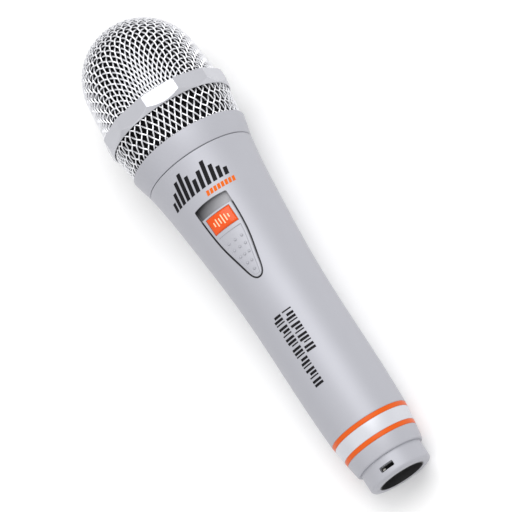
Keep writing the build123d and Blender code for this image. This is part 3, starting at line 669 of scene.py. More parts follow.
# ---------------------------------------------------------------- woven wire
class Surface:
    """Turned surface under a net, by distance along its outline from the top."""

    def __init__(self, outline):
        outline = np.array(outline, float)
        step = np.hypot(*np.diff(outline, axis=0).T)
        at = np.concatenate([[0], np.cumsum(step)])
        self.at = np.linspace(0, at[-1], int(at[-1] / 0.02))
        self.x, self.r = np.interp(self.at, at, outline[:, 0]), np.interp(self.at, at, outline[:, 1])
        self.lean = np.unwrap(np.arctan2(np.gradient(self.r), np.gradient(self.x)))

    def point(self, s, turn):
        """Point at a distance along the outline and a turn from +Z towards -Y."""
        x, r = np.interp(s, self.at, self.x), np.interp(s, self.at, self.r)
        return np.array([x, -r * math.sin(turn), r * math.cos(turn)])

    def nearest(self, spot):
        """Distance along the outline and turn of the surface point nearest to a spot."""
        away = math.hypot(spot[1], spot[2])
        s = self.at[np.argmin((self.x - spot[0])**2 + (self.r - away)**2)]
        return s, math.atan2(-spot[1], spot[2])

    def radius(self, x):
        """Radius at a place along the body, for a surface that only widens or narrows."""
        return np.interp(x, self.x[::-1], self.r[::-1])

    def normal(self, spot):
        """Outward direction at the surface point nearest to a spot."""
        s, turn = self.nearest(spot)
        lean = np.interp(s, self.at, self.lean) - math.pi / 2
        return np.array([math.cos(lean), -math.sin(lean) * math.sin(turn), math.sin(lean) * math.cos(turn)])


def next_knot(surface, left, right, back, pitch):
    """Surface point one cell's side from both neighbours, on the side away from the knot behind them."""
    s, turn = surface.nearest(left + right - back)
    for _ in range(12):
        spot = surface.point(s, turn)
        miss = np.array([(spot - left) @ (spot - left), (spot - right) @ (spot - right)]) - pitch**2
        if abs(miss).max() < 1e-6:
            return spot
        along = (surface.point(s + 1e-3, turn) - spot) * 1e3
        round_ = (surface.point(s, turn + 1e-5) - spot) * 1e5
        slopes = 2 * np.array([[(spot - n) @ along, (spot - n) @ round_] for n in (left, right)])
        if abs(np.linalg.det(slopes)) < 1e-4:
            return None
        move = np.linalg.solve(slopes, -miss)
        s, turn = s + np.clip(move[0], -1, 1), turn + np.clip(move[1], -0.3, 0.3)
        if not 0 <= s <= surface.at[-1]:
            return None
    return None


def draped_quarter(surface, pitch):
    """Knots of a square net over a quarter of the surface. Its first rows run down from the top."""
    count = int(surface.at[-1] / pitch)
    knots = {(0, 0): surface.point(0, 0)}
    for k in range(1, count):
        knots[k, 0] = surface.point(k * pitch, NET_TURN)
        knots[0, k] = surface.point(k * pitch, NET_TURN + math.pi / 2)
    for i in range(1, count):
        for j in range(1, count):
            around = [knots.get(k) for k in ((i - 1, j), (i, j - 1), (i - 1, j - 1))]
            if any(k is None for k in around):
                continue
            spot = next_knot(surface, *around, pitch)
            if spot is not None:
                knots[i, j] = spot
    return knots


def whole_net(laid, surface, pitch):
    """Net laid over one surface and moved to another, repeated four times about the axis."""
    net = {}
    for (i, j), spot in draped_quarter(laid, pitch).items():
        x, y, z = surface.point(*laid.nearest(spot))
        for _ in range(4):
            net[i, j] = np.array((x, y, z))
            i, j, y, z = -j, i, -z, y
    return net


def leaning_net(surface, middle, low, high):
    """Net of crossed threads round a band. Their lean swings four times about the axis."""
    count = BASKET_THREADS
    steps = np.arange(-2 * count, 2 * count) + 0.5
    lean = BASKET_LEAN - BASKET_LEAN_SWING * np.cos(8 * math.pi * steps / count)
    round_, along = (np.concatenate([[0], np.cumsum(f(lean))]) for f in (np.sin, np.cos))
    round_, along = round_ - round_[2 * count], along - along[2 * count]
    pitch = math.pi * surface.radius(middle) / round_[3 * count]
    net = {}
    for i in range(-2 * count, 2 * count):
        for j in range(-2 * count, 2 * count):
            x = middle + pitch * (along[2 * count + i] + along[2 * count + j])
            if (0 <= i < count or 0 <= j < count) and low <= x <= high:
                turn = math.pi * (round_[2 * count + i] - round_[2 * count + j]) / round_[3 * count]
                radius = surface.radius(x)
                turn += NET_TURN - math.pi / 4
                net[i, j] = np.array([x, -radius * math.sin(turn), radius * math.cos(turn)])
    return net


def thread_runs(net, fixed, lines):
    """Knots of each thread in order, split where the net has a hole, with their over or under sign."""
    stops = {}
    for key in net:
        if lines is None or key[fixed] in lines:
            stops.setdefault(key[fixed], []).append(key[1 - fixed])
    for line, places in stops.items():
        run = []
        for stop in sorted(places):
            if run and stop != run[-1][0] + 1:
                yield run
                run = []
            key = (line, stop) if fixed == 0 else (stop, line)
            run.append((stop, net[key], (1 if (line + stop + fixed) % 2 else -1)))
        yield run


def woven(name, net, surface, low, high, lines=None, steps=4):
    """Threads of a net, passing over and under each other, swept with wire between two places on the body."""
    points, edges = [], []
    for fixed in (0, 1):
        for run in thread_runs(net, fixed, lines):
            if len(run) < 3:
                continue
            knots = np.array([k[1] for k in run])
            ahead = np.vstack([2 * knots[0] - knots[1], knots, 2 * knots[-1] - knots[-2]])
            signs = [k[2] for k in run]
            chain = []
            for k in range(len(knots) - 1):
                a, b, c, d = ahead[k:k + 4]
                for step in range(steps):
                    t = step / steps
                    spot = 0.5 * (2 * b + (c - a) * t + (2 * a - 5 * b + 4 * c - d) * t**2
                                  + (3 * b - a - 3 * c + d) * t**3)
                    chain.append((spot, signs[k] * math.cos(math.pi * t) * WIRE / 2))
            chain.append((knots[-1], signs[-1] * WIRE / 2))
            before = None
            for spot, rise in chain:
                if low <= spot[0] <= high:
                    points.append(spot + surface.normal(spot) * rise)
                    if before is not None:
                        edges.append((before, len(points) - 1))
                    before = len(points) - 1
                else:
                    before = None
    mesh = bpy.data.meshes.new(name)
    mesh.from_pydata([tuple(p * MM) for p in points], edges, [])
    return wire_tree().work(linked(name, mesh), Radius=WIRE / 2 * MM, Sides=6, Finish=wire_finish.material)


def arc(centre, radius, start, end, steps=40):
    """Points of an arc in (x, radius), by angle from the body's axis."""
    return [(centre[0] + radius * math.cos(turn), centre[1] + radius * math.sin(turn))
            for turn in np.linspace(start, end, steps)]


def touch_angle(centre, radius, spot):
    """Angle at which a line from a spot outside a ball's outline touches it."""
    away, rise = spot[0] - centre, spot[1]
    return math.atan2(rise, away) - math.acos(radius / math.hypot(away, rise))


def dome_outline(inset, foot_end):
    """Dome's outline set in by some depth, from its top to below the ring."""
    radius, foot = DOME_RADIUS - inset, (ring[1], dome_foot_radius - inset)
    return arc((dome_centre, 0), radius, 0, touch_angle(dome_centre, radius, foot)) + [
        foot, (foot_end, dome_foot_radius - inset)]


def make_dome():
    """Wire net of the dome, laid on a flared stand-in and moved knot by knot to the real dome."""
    surface = Surface(dome_outline(WIRE, ring[1] - 8))
    radius, bend = DOME_RADIUS - WIRE, math.pi / 2 - DOME_FLARE
    rest = surface.at[-1] - radius * bend
    flared = Surface(arc((dome_centre, 0), radius, 0, bend) + [
        (dome_centre + radius * math.cos(bend) - rest * math.cos(DOME_FLARE),
         radius * math.sin(bend) + rest * math.sin(DOME_FLARE))])
    net = whole_net(flared, surface, DOME_PITCH)
    dome = woven("grille_dome_weave", net, surface, ring[1] - MESH_SEAT, apex)
    return place(dome, "head", "steel_mesh", "grille_dome")


def make_basket():
    """Wire net of the tapering basket between the collar and the ring."""
    low, high = (collar[1], basket_foot_radius - WIRE), (ring[0], dome_foot_radius - WIRE)
    slope = (high[1] - low[1]) / (high[0] - low[0])
    surface = Surface([(ring[0] + 8, high[1] + 8 * slope), (collar[1] - 8, low[1] - 8 * slope)])
    net = leaning_net(surface, (collar[1] + ring[0]) / 2, collar[1] - 6, ring[0] + 6)
    basket = woven("grille_basket_weave", net, surface, mesh_foot + 0.2, ring[0] + MESH_SEAT - 0.1,
                   range(BASKET_THREADS))
    return place(basket, "head", "steel_mesh", "grille_lower")


# ---------------------------------------------------------------- handle
def over_pocket(s, across, height=0.0):
    """Point above the handle's skin, by distance along the switch from the pocket's middle."""
    s, across, height = np.broadcast_arrays(s, across, height)
    x = pocket_middle + s * math.cos(slope)
    radius = handle_radius(x)
    up = np.sqrt(np.maximum(radius**2 - across**2, 1.0))
    lift = height * radius / up
    return np.stack([x - lift * math.sin(slope), across * 1.0, up + lift * math.cos(slope)], axis=-1)


def shield_side(inset, samples=64):
    """Right side of the pocket's outline from its top to its tip, set in from the wall."""
    stations = [(pocket_top - drop, share * POCKET_HALF_WIDTH - inset) for drop, share in POCKET_STATIONS]
    return smooth_line(stations + [(pocket_tip + inset, 0)], samples, start=(-1, -0.01), end=(0, -1))


def pocket_tool():
    """Cutting tool of the pocket: rounded lip, upright wall, rounded foot, floor along the skin."""
    side = [tuple(p) for p in shield_side(0)]
    side[0] = (*side[0], 0.4)
    other = [(p[0], -p[1], *p[2:]) for p in side[-2::-1]]
    top = [(pocket_top + POCKET_ARCH * (1 - q**2), q * POCKET_HALF_WIDTH)
           for q in np.linspace(-0.85, 0.85, 9)]
    loop = np.array(rounded(side + other + top))
    ahead, behind = np.roll(loop, -1, 0), np.roll(loop, 1, 0)
    normal = (ahead - behind)[:, ::-1] * (1, -1)
    normal /= np.hypot(*normal.T)[:, None]
    if np.sum(normal * (loop - loop.mean(0))) < 0:
        normal = -normal
    bend = np.linspace(0, math.pi / 2, 7)
    foot = POCKET_FOOT
    section = [(POCKET_LIP + 0.05, POCKET_CLEAR)]
    section += [(POCKET_LIP * (1 - math.sin(a)), -POCKET_LIP * (1 - math.cos(a))) for a in bend]
    section += [(-foot * (1 - math.cos(a)), -POCKET_DEPTH + foot * (1 - math.sin(a))) for a in bend]
    rings = [over_pocket(*(loop + normal * out).T, height) for out, height in section]
    inner = loop - normal * foot
    for share in (0.9, 0.75, 0.6, 0.45, 0.3, 0.15, 0.0):
        along = POCKET_HUB + (inner[:, 0] - POCKET_HUB) * share
        rings.append(over_pocket(along, inner[:, 1] * share, -POCKET_DEPTH))
    count = len(loop)
    points = np.concatenate(rings)
    faces = grid_faces(len(rings), count, False, True) + [tuple(range(count))]
    return new_piece("pocket_tool", points, faces, recess_shade_finish)


def skin_normals(piece):
    """Gives the handle's skin its true normals, so that the pocket's cut leaves no trace in the shading."""
    mesh = piece.data
    spots = np.array([v.co for v in mesh.vertices]) / MM
    away = np.hypot(spots[:, 1], spots[:, 2])
    radius = handle_radius(spots[:, 0])
    lean = (handle_radius(spots[:, 0] + 0.2) - handle_radius(spots[:, 0] - 0.2)) / 0.4
    on_skin = (abs(away - radius) < 0.02) & (spots[:, 0] > handle_start + 0.3) & (spots[:, 0] < seam - 0.5)
    normal = np.stack([-lean, spots[:, 1] / away, spots[:, 2] / away], -1)
    normal /= np.linalg.norm(normal, axis=1)[:, None]
    loops = np.zeros((len(mesh.loops), 3))
    for face in mesh.polygons:
        if all(on_skin[v] for v in face.vertices):
            for loop, vertex in zip(face.loop_indices, face.vertices):
                loops[loop] = normal[vertex]
    mesh.normals_split_custom_set([tuple(n) for n in loops])
    return piece


def make_handle():
    """Hollow flared handle, with the switch's pocket and slot cut into it."""
    skin = [tuple(p) for p in handle_line[1:-1]]
    inside = [(x, r - HANDLE_WALL) for x, r in handle_line[::4] if handle_start + 6 < x < neck[0] - 6]
    outline = rounded(
        [(handle_start, GRIP_START_RADIUS, STRIPE_EDGE)] + skin + [
            (seam, SEAM_RADIUS, SEAM_EDGE), (seam, THREAD_RADIUS + 0.1), (neck[0], THREAD_RADIUS + 0.1),
            (neck[0], THREAD_RADIUS - 0.8)] + inside[::-1] + [
            (handle_start + 2.6, TAIL_BORE), (handle_low, TAIL_BORE),
            (handle_low, SPIGOT_RADIUS - 0.05), (handle_start, SPIGOT_RADIUS - 0.05)])
    handle = turned("handle_body", outline, silver)
    slot = over_pocket(SLOT_MIDDLE, 0.0, -HANDLE_WALL / 2)
    cut(handle, block("slot_tool", slot, (SLOT_SIZE[0], SLOT_SIZE[1], 2 * HANDLE_WALL)), pocket_tool())
    piece = remade("handle", handle, None)
    return place(skin_normals(piece), "handle", "silver_paint", "handle_shell")


def make_stripes():
    """Two orange rings and the light band between them, each with softly rounded edges."""
    shares = (stripe_rear[0], handle_start), (SHOULDER_RADIUS, GRIP_START_RADIUS)
    for name, node, (start, end), finish, slot in (
            ("rear_stripe", "orange_ring_rear", stripe_rear, orange, "orange_ring"),
            ("pale_band", "accent_band", band, band_finish, "light_band"),
            ("front_stripe", "orange_ring_front", stripe_front, orange, "orange_ring")):
        low, high = np.interp([start, end], *shares)
        outline = rounded([(start, SPIGOT_RADIUS), (start, low, STRIPE_EDGE),
                           (end, high, STRIPE_EDGE), (end, SPIGOT_RADIUS)])
        place(turned(name, outline, finish), "handle", slot, node)


def make_tail():
    """Shoulder and bare sleeve at the tail, with the latch window and the screw's recess."""
    outline = rounded([
        (sleeve_end, TAIL_BORE), (sleeve_end, SHOULDER_RADIUS - SHOULDER_DROP, SHOULDER_EDGE),
        (stripe_rear[0], SHOULDER_RADIUS, STRIPE_EDGE), (stripe_rear[0], SPIGOT_RADIUS),
        (handle_low, SPIGOT_RADIUS), (handle_low, TAIL_BORE)])
    cap = turned("shoulder_body", outline, silver)
    screw = stripe_rear[0] - SCREW_OFFSET
    cut(cap, round_tool("screw_tool", (screw, 0, -SCREW_FLOOR - 2), SCREW_HEAD, 4),
        round_tool("shank_tool", (screw, 0, -SCREW_FLOOR), SCREW_SHANK, 8))
    shoulder = remade("shoulder", cap, silver)
    place(shoulder, "handle", "silver_paint", "tail_cap")

    outline = rounded([
        (0, SLEEVE_MOUTH, 0.25), (0, SLEEVE_RADIUS, SLEEVE_EDGE), (sleeve_end, SLEEVE_RADIUS),
        (sleeve_end, TAIL_BORE - 0.05), (insert_end, TAIL_BORE - 0.05), (insert_end, SLEEVE_BORE),
        (1.0, SLEEVE_BORE), (1.0, SLEEVE_MOUTH)])
    tube = turned("sleeve_body", outline, silver)
    cut(tube, latch_tool())
    sleeve = remade("sleeve", tube, silver)
    place(bevelled(sleeve, 0.12, 2, 60), "handle", "silver_paint", "tail_sleeve")


def prism(name, points):
    """Closed piece between two like loops of points."""
    count = len(points) // 2
    faces = [(i, (i + 1) % count, count + (i + 1) % count, count + i) for i in range(count)]
    return new_piece(name, points, faces + [tuple(range(count)), tuple(range(count, 2 * count))])


def round_tool(name, centre, radius, length, sides=48):
    """Upright round cutting tool."""
    angles = np.arange(sides) * 2 * math.pi / sides
    rim = np.stack([radius * np.cos(angles), radius * np.sin(angles), np.full(sides, -length / 2)], -1)
    points = np.concatenate([rim, rim + (0, 0, length)]) + np.array(centre)
    return prism(name, points)


def latch_tool():
    """Rounded oblong that opens the latch window through the sleeve."""
    half_length, half_width = LATCH_LENGTH / 2, LATCH_WIDTH / 2
    loop = rounded([(-half_length, -half_width, 0.4), (half_length, -half_width, 0.4),
                    (half_length, half_width, 0.4), (-half_length, half_width, 0.4)])
    middle = LATCH_START + half_length
    return prism("latch_tool", [(middle + a, b, z) for z in (2.0, SLEEVE_RADIUS + 2) for a, b in loop])


# ---------------------------------------------------------------- head
def make_neck():
    """Thread that the head screws on to, its crest running round as a helix."""
    sides, per_turn = 160, 10
    rows = int((neck[1] - neck[0]) / THREAD_PITCH * per_turn)
    turn = np.arange(sides) * 2 * math.pi / sides
    along = np.linspace(neck[0], neck[1], rows)
    phase = (along[:, None] / THREAD_PITCH - turn / (2 * math.pi)) % 1
    groove = np.clip(abs(phase - 0.5) * 4 - 0.5, 0, 1)
    fade = np.clip(np.minimum(along - neck[0], neck[1] - along) / THREAD_PITCH, 0, 1)[:, None]
    radius = THREAD_RADIUS - THREAD_DEPTH * (1 - groove) * fade
    bore = [around(x, THREAD_BORE, turn) for x in (neck[1], neck[0])]
    points = np.concatenate([around(along[:, None], radius, turn).reshape(-1, 3), *bore])
    thread = new_piece("neck_thread", points, grid_faces(rows + 2, sides, True, True), plated_steel)
    return place(thread, "handle", "steel", "neck_sleeve")


def make_collar():
    """Collar that carries the basket and screws on to the handle."""
    foot, mesh_radius = collar[1] - MESH_SEAT - 1.0, basket_foot_radius + 0.05
    taper = (collar_top_radius - SEAM_RADIUS) * (collar[1] - foot) / (collar[1] - collar[0])
    bore, groove, groove_end = THREAD_RADIUS + 0.06, THREAD_RADIUS + SEAL_GROOVE, collar[0] + SEAL_LENGTH
    outline = rounded([
        (collar[0], groove), (collar[0], SEAM_RADIUS, SEAM_EDGE),
        (collar[1], collar_top_radius, COLLAR_EDGE), (collar[1], mesh_radius), (foot, mesh_radius - taper),
        (foot, bore), (groove_end, bore), (groove_end, groove)])
    return place(turned("collar", outline, silver), "head", "silver_paint", "neck_collar")


def make_ring():
    """Twelve-sided ring, bevelled below like a nut, so each facet's lower edge is a curve."""
    per_facet = 16
    facet = 2 * math.pi / RING_FACETS
    angles = np.arange(RING_FACETS * per_facet) * facet / per_facet + math.radians(RING_TURN)
    flat = RING_APOTHEM / np.cos((angles - math.radians(RING_TURN)) % facet - facet / 2)
    corner = RING_APOTHEM / math.cos(facet / 2)
    low_crease = ring[0] + RING_BEVEL_HEIGHT * (flat - corner + RING_BEVEL) / RING_BEVEL
    high_crease = ring[1] - RING_RIM + corner - flat
    rows = [
        (ring[0], RING_SEAT),
        (ring[0], corner - RING_BEVEL),
        (np.maximum(low_crease, ring[0] + 0.02), flat),
        (np.minimum(high_crease, ring[1] - 0.12), flat),
        (ring[1], np.minimum(flat - 0.15, corner - RING_RIM)),
        (ring[1], RING_SEAT),
        (ring[1] - MESH_SEAT, RING_SEAT),
        (ring[1] - MESH_SEAT, RING_SEAT - RING_LEDGE),
        (ring[0] + MESH_SEAT, RING_SEAT - RING_LEDGE),
        (ring[0] + MESH_SEAT, RING_SEAT),
    ]
    turn = angles + math.pi / 2
    points = np.concatenate([
        np.stack(np.broadcast_arrays(x, r * np.cos(turn), r * np.sin(turn)), -1) for x, r in rows])
    made = new_piece("ring_body", points, grid_faces(len(rows), len(angles), True, True), ring_finish)
    piece = remade("faceted_ring", made, ring_finish, 12.0, 1e-7)
    return place(bevelled(piece, 0.14, 3, 14), "head", "silver_paint", "grille_ring")


def make_foam():
    """Foam liner behind the wire, pitted with open cells."""
    inset = FOAM_INSET
    outer = dome_outline(inset, ring[1])[:-1]
    inner = dome_outline(inset + FOAM_THICKNESS, ring[1])[:-1]
    places = np.linspace(ring[1], mesh_foot, 26)[1:]
    side = [(x, np.interp(x, [mesh_foot, collar[1], ring[0], ring[1]],
                          [basket_foot_radius - inset - 0.7, basket_foot_radius - inset,
                           dome_foot_radius - inset - 0.3, dome_foot_radius - inset])) for x in places]
    flank = np.linspace(0, 1, 16)[1:-1, None]
    straight = [tuple(p) for p in np.array(outer[-2]) * (1 - flank) + np.array(outer[-1]) * flank]
    outline = (outer[:-1] + straight + outer[-1:] + side
               + [(mesh_foot, THREAD_RADIUS + 0.7), (collar[1], THREAD_RADIUS + 0.7)] + inner[::-1])
    foam = turned("foam", outline, foam_finish, 220)
    count = len(foam.data.vertices)
    spots, normals = np.empty(count * 3), np.empty(count * 3)
    foam.data.vertices.foreach_get("co", spots)
    foam.data.vertex_normals.foreach_get("vector", normals)
    spots = spots.reshape(-1, 3)
    near = np.array([noise.voronoi(Vector(spot / MM / FOAM_CELL))[0] for spot in spots])
    pit = np.maximum(0, 0.42 - near[:, 0]) + 0.25 * np.maximum(0, 0.3 - (near[:, 1] - near[:, 0]))
    spots -= normals.reshape(-1, 3) * pit[:, None] * FOAM_PIT * MM
    foam.data.vertices.foreach_set("co", spots.ravel())
    foam.data.update()
    return place(foam, "head", "foam", "foam_liner")


# ---------------------------------------------------------------- slide switch
def pad(name, rows, columns, top, bottom, finish, lay=over_pocket):
    """Closed slab over a surface, by its rows, the places across them and the heights of its faces."""
    along, across = np.array(rows, float), np.array(columns, float)
    count, width = across.shape
    along = np.broadcast_to(along.reshape(count, -1), across.shape)
    upper = lay(along, across, np.broadcast_to(top, across.shape))
    lower = lay(along, across, np.broadcast_to(bottom, across.shape))
    points = np.concatenate([upper.reshape(-1, 3), lower.reshape(-1, 3)])
    size = count * width
    faces = grid_faces(count, width) + [f[::-1] for f in grid_faces(count, width, start=size)]
    index = np.arange(size).reshape(count, width)
    rim = [int(k) for k in np.concatenate(
        [index[0], index[1:, -1], index[-1, -2::-1], index[-2:0:-1, 0]])]
    faces += [(a, b, b + size, a + size) for a, b in zip(rim, rim[1:] + rim[:1])]
    return new_piece(name, points, faces, finish)


def edge_drop(inset, radius):
    """Fall of a rounded edge at a distance in from it."""
    inset = np.clip(inset, 0, radius)
    return radius - np.sqrt(np.maximum(radius**2 - (radius - inset)**2, 0))


def ramp(value, low, high):
    """Smooth step from 0 to 1."""
    t = np.clip((value - low) / (high - low), 0, 1)
    return t * t * (3 - 2 * t)


edge_insets = [0, 0.03, 0.08, 0.15, 0.25, SLIDER_EDGE, 0.7, PANEL_INSET - PANEL_STEP / 2, PANEL_INSET,
               PANEL_INSET + PANEL_STEP / 2, PANEL_INSET + PANEL_STEP]


def make_slider():
    """Shield-shaped slider with a sunken panel and a place for the badge."""
    tip = pocket_tip + SLIDER_GAP
    side = shield_side(SLIDER_GAP, 900)[::-1]
    panel_top = pocket_tip + PANEL_TOP
    step = [panel_top + PANEL_STEP * q for q in (-0.75, -0.5, -0.25, 0, 0.25, 0.5, 0.75)]
    rows = np.unique(np.concatenate([
        [tip + d for d in edge_insets], np.arange(tip + 1.6, panel_top - 0.4, 0.4), step,
        np.arange(panel_top + 0.5, slider_top - 0.6, 0.4), [slider_top - d for d in edge_insets if d < 0.8]]))
    width = np.interp(rows, side[:, 0], side[:, 1])
    squeeze = np.minimum(1, width / 2.4)[:, None]
    insets = np.array(edge_insets)
    middle = np.linspace(-1, 1, 31)[1:-1]
    inner = width[:, None] - insets[-1] * squeeze
    edge = width[:, None] - insets * squeeze
    across = np.concatenate([-edge, middle * inner, edge[:, ::-1]], 1)
    depth = np.concatenate([insets, np.full(len(middle), insets[-1]), insets[::-1]])[None, :]
    from_tip, from_top = (rows - tip)[:, None], (slider_top - rows)[:, None]
    drop = np.minimum(edge_drop(depth, SLIDER_EDGE) + edge_drop(from_tip, SLIDER_EDGE)
                      + edge_drop(from_top, SLIDER_EDGE), SLIDER_EDGE)
    first, last = PANEL_INSET - PANEL_STEP / 2, PANEL_INSET + PANEL_STEP / 2
    panel = (ramp(depth, first, last) * ramp(from_tip, first, last)
             * (1 - ramp(rows - panel_top, -PANEL_STEP / 2, PANEL_STEP / 2))[:, None])
    top = SLIDER_PROUD - drop - PANEL_DEPTH * panel
    slider = pad("slider_body", rows, across, top, -SLIDER_FLOOR, silver)
    reach_ = np.linspace(-1, 1, 25) * (BADGE_SIZE[1] / 2 + 0.12)
    ends = np.linspace(-1, 1, 9) * (BADGE_SIZE[0] / 2 + 0.12) + badge_middle
    tool = pad("badge_tool", ends, np.broadcast_to(reach_, (9, 25)), 1.0, SLIDER_PROUD - BADGE_FLOOR, None)
    cut(slider, tool)
    piece = remade("switch_slide_cap", slider, silver, 40.0)
    return place(piece, "switch_slider", "silver_paint", "slider")


def make_bumps():
    """Twelve grip bumps on the slider's panel."""
    spots, leans = [], []
    for row, spread, count in BUMP_ROWS:
        for index in range(count):
            across = (index - (count - 1) / 2) * spread
            low, high = (over_pocket(pocket_tip + row, across, height)
                         for height in (SLIDER_PROUD - PANEL_DEPTH - 0.05, 1.0))
            spots.append(tuple(low * MM))
            leans.append((high - low) / np.linalg.norm(high - low))
    mesh = bpy.data.meshes.new("grip_bumps")
    mesh.from_pydata(spots, [], [])
    lean = mesh.attributes.new("lean", "FLOAT_VECTOR", "POINT")
    lean.data.foreach_set("vector", np.array(leans, np.float32).ravel())
    piece = linked("grip_bumps", mesh)
    bump_tree().work(piece, Radius=BUMP_RADIUS * MM, Rise=BUMP_RISE / BUMP_RADIUS, Finish=silver.material)
    return place(piece, "switch_slider", "silver_paint")


def pillow(distance, half, edge, crown):
    """Height share of a domed plate across one direction."""
    q = np.clip(abs(distance) / half, 0, 1)
    return 1 - crown * q**2 - (1 - crown) * ramp(abs(distance), half - edge, half)


def badge_height(along, across):
    """Height of the badge's domed face, by distances from its middle."""
    lengthwise, sideways = (pillow(distance, size / 2, BADGE_EDGE, fall)
                            for distance, size, fall in zip((along, across), BADGE_SIZE, BADGE_FALLS))
    return SLIDER_PROUD - 0.1 + (BADGE_CROWN + 0.1) * lengthwise[:, None] * sideways[None, :]


def make_badge():
    """Domed resin badge in the slider, with a level symbol on it."""
    half_length, half_width = BADGE_SIZE[0] / 2, BADGE_SIZE[1] / 2
    near_edge = np.array([0, 0.05, 0.12, 0.22, 0.35, BADGE_EDGE])
    rows = np.concatenate([-half_length + near_edge, np.linspace(-half_length + 0.8, half_length - 0.8, 12),
                           half_length - near_edge[::-1]])
    columns = np.concatenate([-half_width + near_edge, np.linspace(-half_width + 0.8, half_width - 0.8, 20),
                              half_width - near_edge[::-1]])
    top = badge_height(rows, columns)
    across = np.broadcast_to(columns, top.shape)
    badge = pad("badge_resin", rows + badge_middle, across, top, SLIDER_PROUD - BADGE_FLOOR + 0.02, resin)
    place(badge, "switch_slider", "orange_badge", "slider_badge")

    meshes = []
    for index, length in enumerate(BADGE_BARS):
        middle = (index - (len(BADGE_BARS) - 1) / 2) * BADGE_BAR_STEP
        ends = np.linspace(-length / 2, length / 2, 9)
        sides = middle + np.array([-0.22, -0.12, 0, 0.12, 0.22])
        height = badge_height(ends, sides)
        meshes.append(pad("bar", ends + badge_middle, np.broadcast_to(sides, height.shape),
                          height + 0.05, height - 0.1, symbol_ink))
    return place(joined("badge_symbol", meshes), "switch_slider", "orange_badge")


def joined(name, pieces):
    """One piece from several, which keep their finish."""
    work = bmesh.new()
    for piece in pieces:
        work.from_mesh(piece.data)
    mesh = bpy.data.meshes.new(name)
    work.to_mesh(mesh)
    work.free()
    mesh.materials.append(pieces[0].data.materials[0])
    mesh.shade_smooth()
    mesh.set_sharp_from_angle(angle=math.radians(32))
    for piece in pieces:
        bpy.data.objects.remove(piece)
    return linked(name, mesh)


# ---------------------------------------------------------------- printed marks
def print_bar(start, end, low, high, slant, finish):
    """One printed bar between two places on the body and two arcs, leaning along the body."""
    rows = np.linspace(start, end, max(3, int(abs(end - start) / 0.6)))
    columns = np.linspace(low, high, max(3, int(abs(high - low) / 0.5)))
    across = columns[None, :] + slant * (rows - start)[:, None]
    return pad("bar", rows, across, MARK_THICKNESS, -0.1, finish, round_handle)


def make_marks():
    """Plain printed marks: a leaning level meter, a row of dots and two rows of ticks."""
    base = seam - 13.0
    bars = [print_bar(base, base + tall, -14.0 + 2.4 * i, -12.4 + 2.4 * i, METER_LEAN, black_ink)
            for i, tall in enumerate(METER_BARS)]
    place(joined("printed_meter", bars), "handle", "silver_paint")
    dots = [print_bar(base - 3.2, base - 1.3, low, low + 1.1, METER_LEAN, orange_ink)
            for low in (0.6 + 1.5 * i for i in range(8))]
    place(joined("printed_dots", dots), "handle", "silver_paint")
    ticks = []
    for row, (low, count) in enumerate(TICK_ROWS):
        for i in range(count):
            thick = 0.95 if (i * 7 + row) % 3 else 0.5
            short = 0.9 if (i * 5 + row) % 4 == 1 else 0
            x = TICK_START - TICK_STEP * i
            ticks.append(print_bar(x - thick, x, low + short, low + TICK_LENGTH, 0, black_ink))
    place(joined("printed_ticks", ticks), "handle", "silver_paint")


# ---------------------------------------------------------------- stage, light and camera
CAMERA_SPOT = Vector((-196.595, -220.337, 981.404)) * MM
CAMERA_AHEAD = Vector((0.277579, 0.211207, -0.937199))
CAMERA_RIGHT = Vector((-0.523869, -0.784458, -0.331944))
CAMERA_LENS = 209.96


def make_camera():
    """Long lens above the switch, a little behind the tail."""
    data = bpy.data.cameras.new("camera")
    data.lens, data.sensor_width = CAMERA_LENS, 36.0
    data.clip_start, data.clip_end = 0.05, 20.0
    camera = linked("camera", data)
    ahead, right = CAMERA_AHEAD.normalized(), CAMERA_RIGHT.normalized()
    up = right.cross(ahead)
    turn = Matrix((right, up, -ahead)).transposed()
    camera.matrix_world = Matrix.Translation(CAMERA_SPOT) @ turn.to_4x4()
    bpy.context.scene.camera = camera


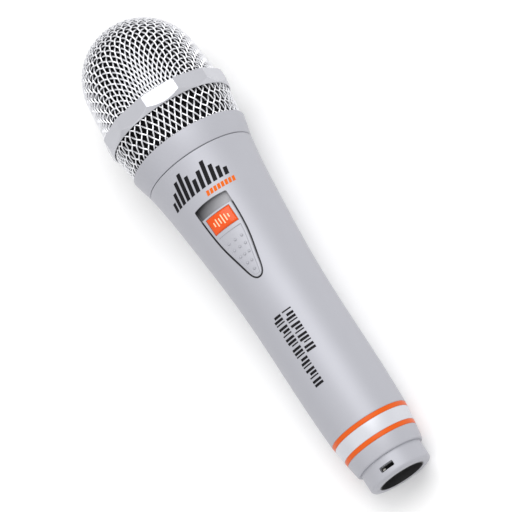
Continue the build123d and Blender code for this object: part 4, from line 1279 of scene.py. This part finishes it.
def make_floor():
    """Pale table that the ring and the tail rest on."""
    floor_paint = Finish("floor")
    cloud = floor_paint.noise(40.0, 3)
    floor_paint.surface(floor_paint.blend(cloud, (0.90, 0.90, 0.905), (0.93, 0.93, 0.93)), cloud * 0.1 + 0.6)
    ring_spot = Vector((ring[1], 0, -RING_APOTHEM * 1.035)) * MM
    tail_spot = Vector((SLEEVE_EDGE, 0, -SLEEVE_RADIUS)) * MM
    along = (ring_spot - tail_spot).normalized()
    side = Vector((0, 1, 0))
    middle = (ring_spot + tail_spot) / 2 + along.cross(side) * 0.0002
    half = 6.0
    corners = [middle + along * a * half + side * b * half for a, b in ((-1, -1), (1, -1), (1, 1), (-1, 1))]
    mesh = bpy.data.meshes.new("floor")
    mesh.from_pydata(corners, [], [(0, 1, 2, 3)])
    mesh.materials.append(floor_paint.material)
    floor = linked("floor", mesh)


def soft_light(name, spot, aim, size, power):
    """White rectangular lamp at one spot, aimed at another."""
    data = bpy.data.lights.new(name, "AREA")
    data.shape, data.size, data.size_y = "RECTANGLE", *size
    data.energy = power
    light = linked(name, data)
    light.location = Vector(spot)
    light.rotation_mode = "QUATERNION"
    light.rotation_quaternion = (Vector(aim) - Vector(spot)).to_track_quat("-Z", "Y")


def make_light():
    """Bright even surround, a soft key lamp over the ring and a fill from the other side."""
    world = bpy.data.worlds.new("studio")
    world.use_nodes = True
    backdrop = world.node_tree.nodes["Background"]
    backdrop.inputs["Color"].default_value = (1.0, 1.0, 1.0, 1)
    backdrop.inputs["Strength"].default_value = 0.8
    bpy.context.scene.world = world
    bpy.context.scene.view_settings.view_transform = "Standard"
    head_spot = Vector((ring[0], 0, RING_APOTHEM)) * MM
    soft_light("key", head_spot + Vector((0.28, -0.36, 0.89)) * 1.2, head_spot, (1.0, 1.0), 10)
    soft_light("fill", (-0.3, 0.8, 1.1), (0.1, 0, 0), (1.2, 1.2), 2.5)


make_camera()
make_floor()
make_light()
paint_carried_nodes()
make_handle()
make_stripes()
make_tail()
make_neck()
make_collar()
make_ring()
make_foam()
make_dome()
make_basket()
make_slider()
make_bumps()
make_badge()
make_marks()
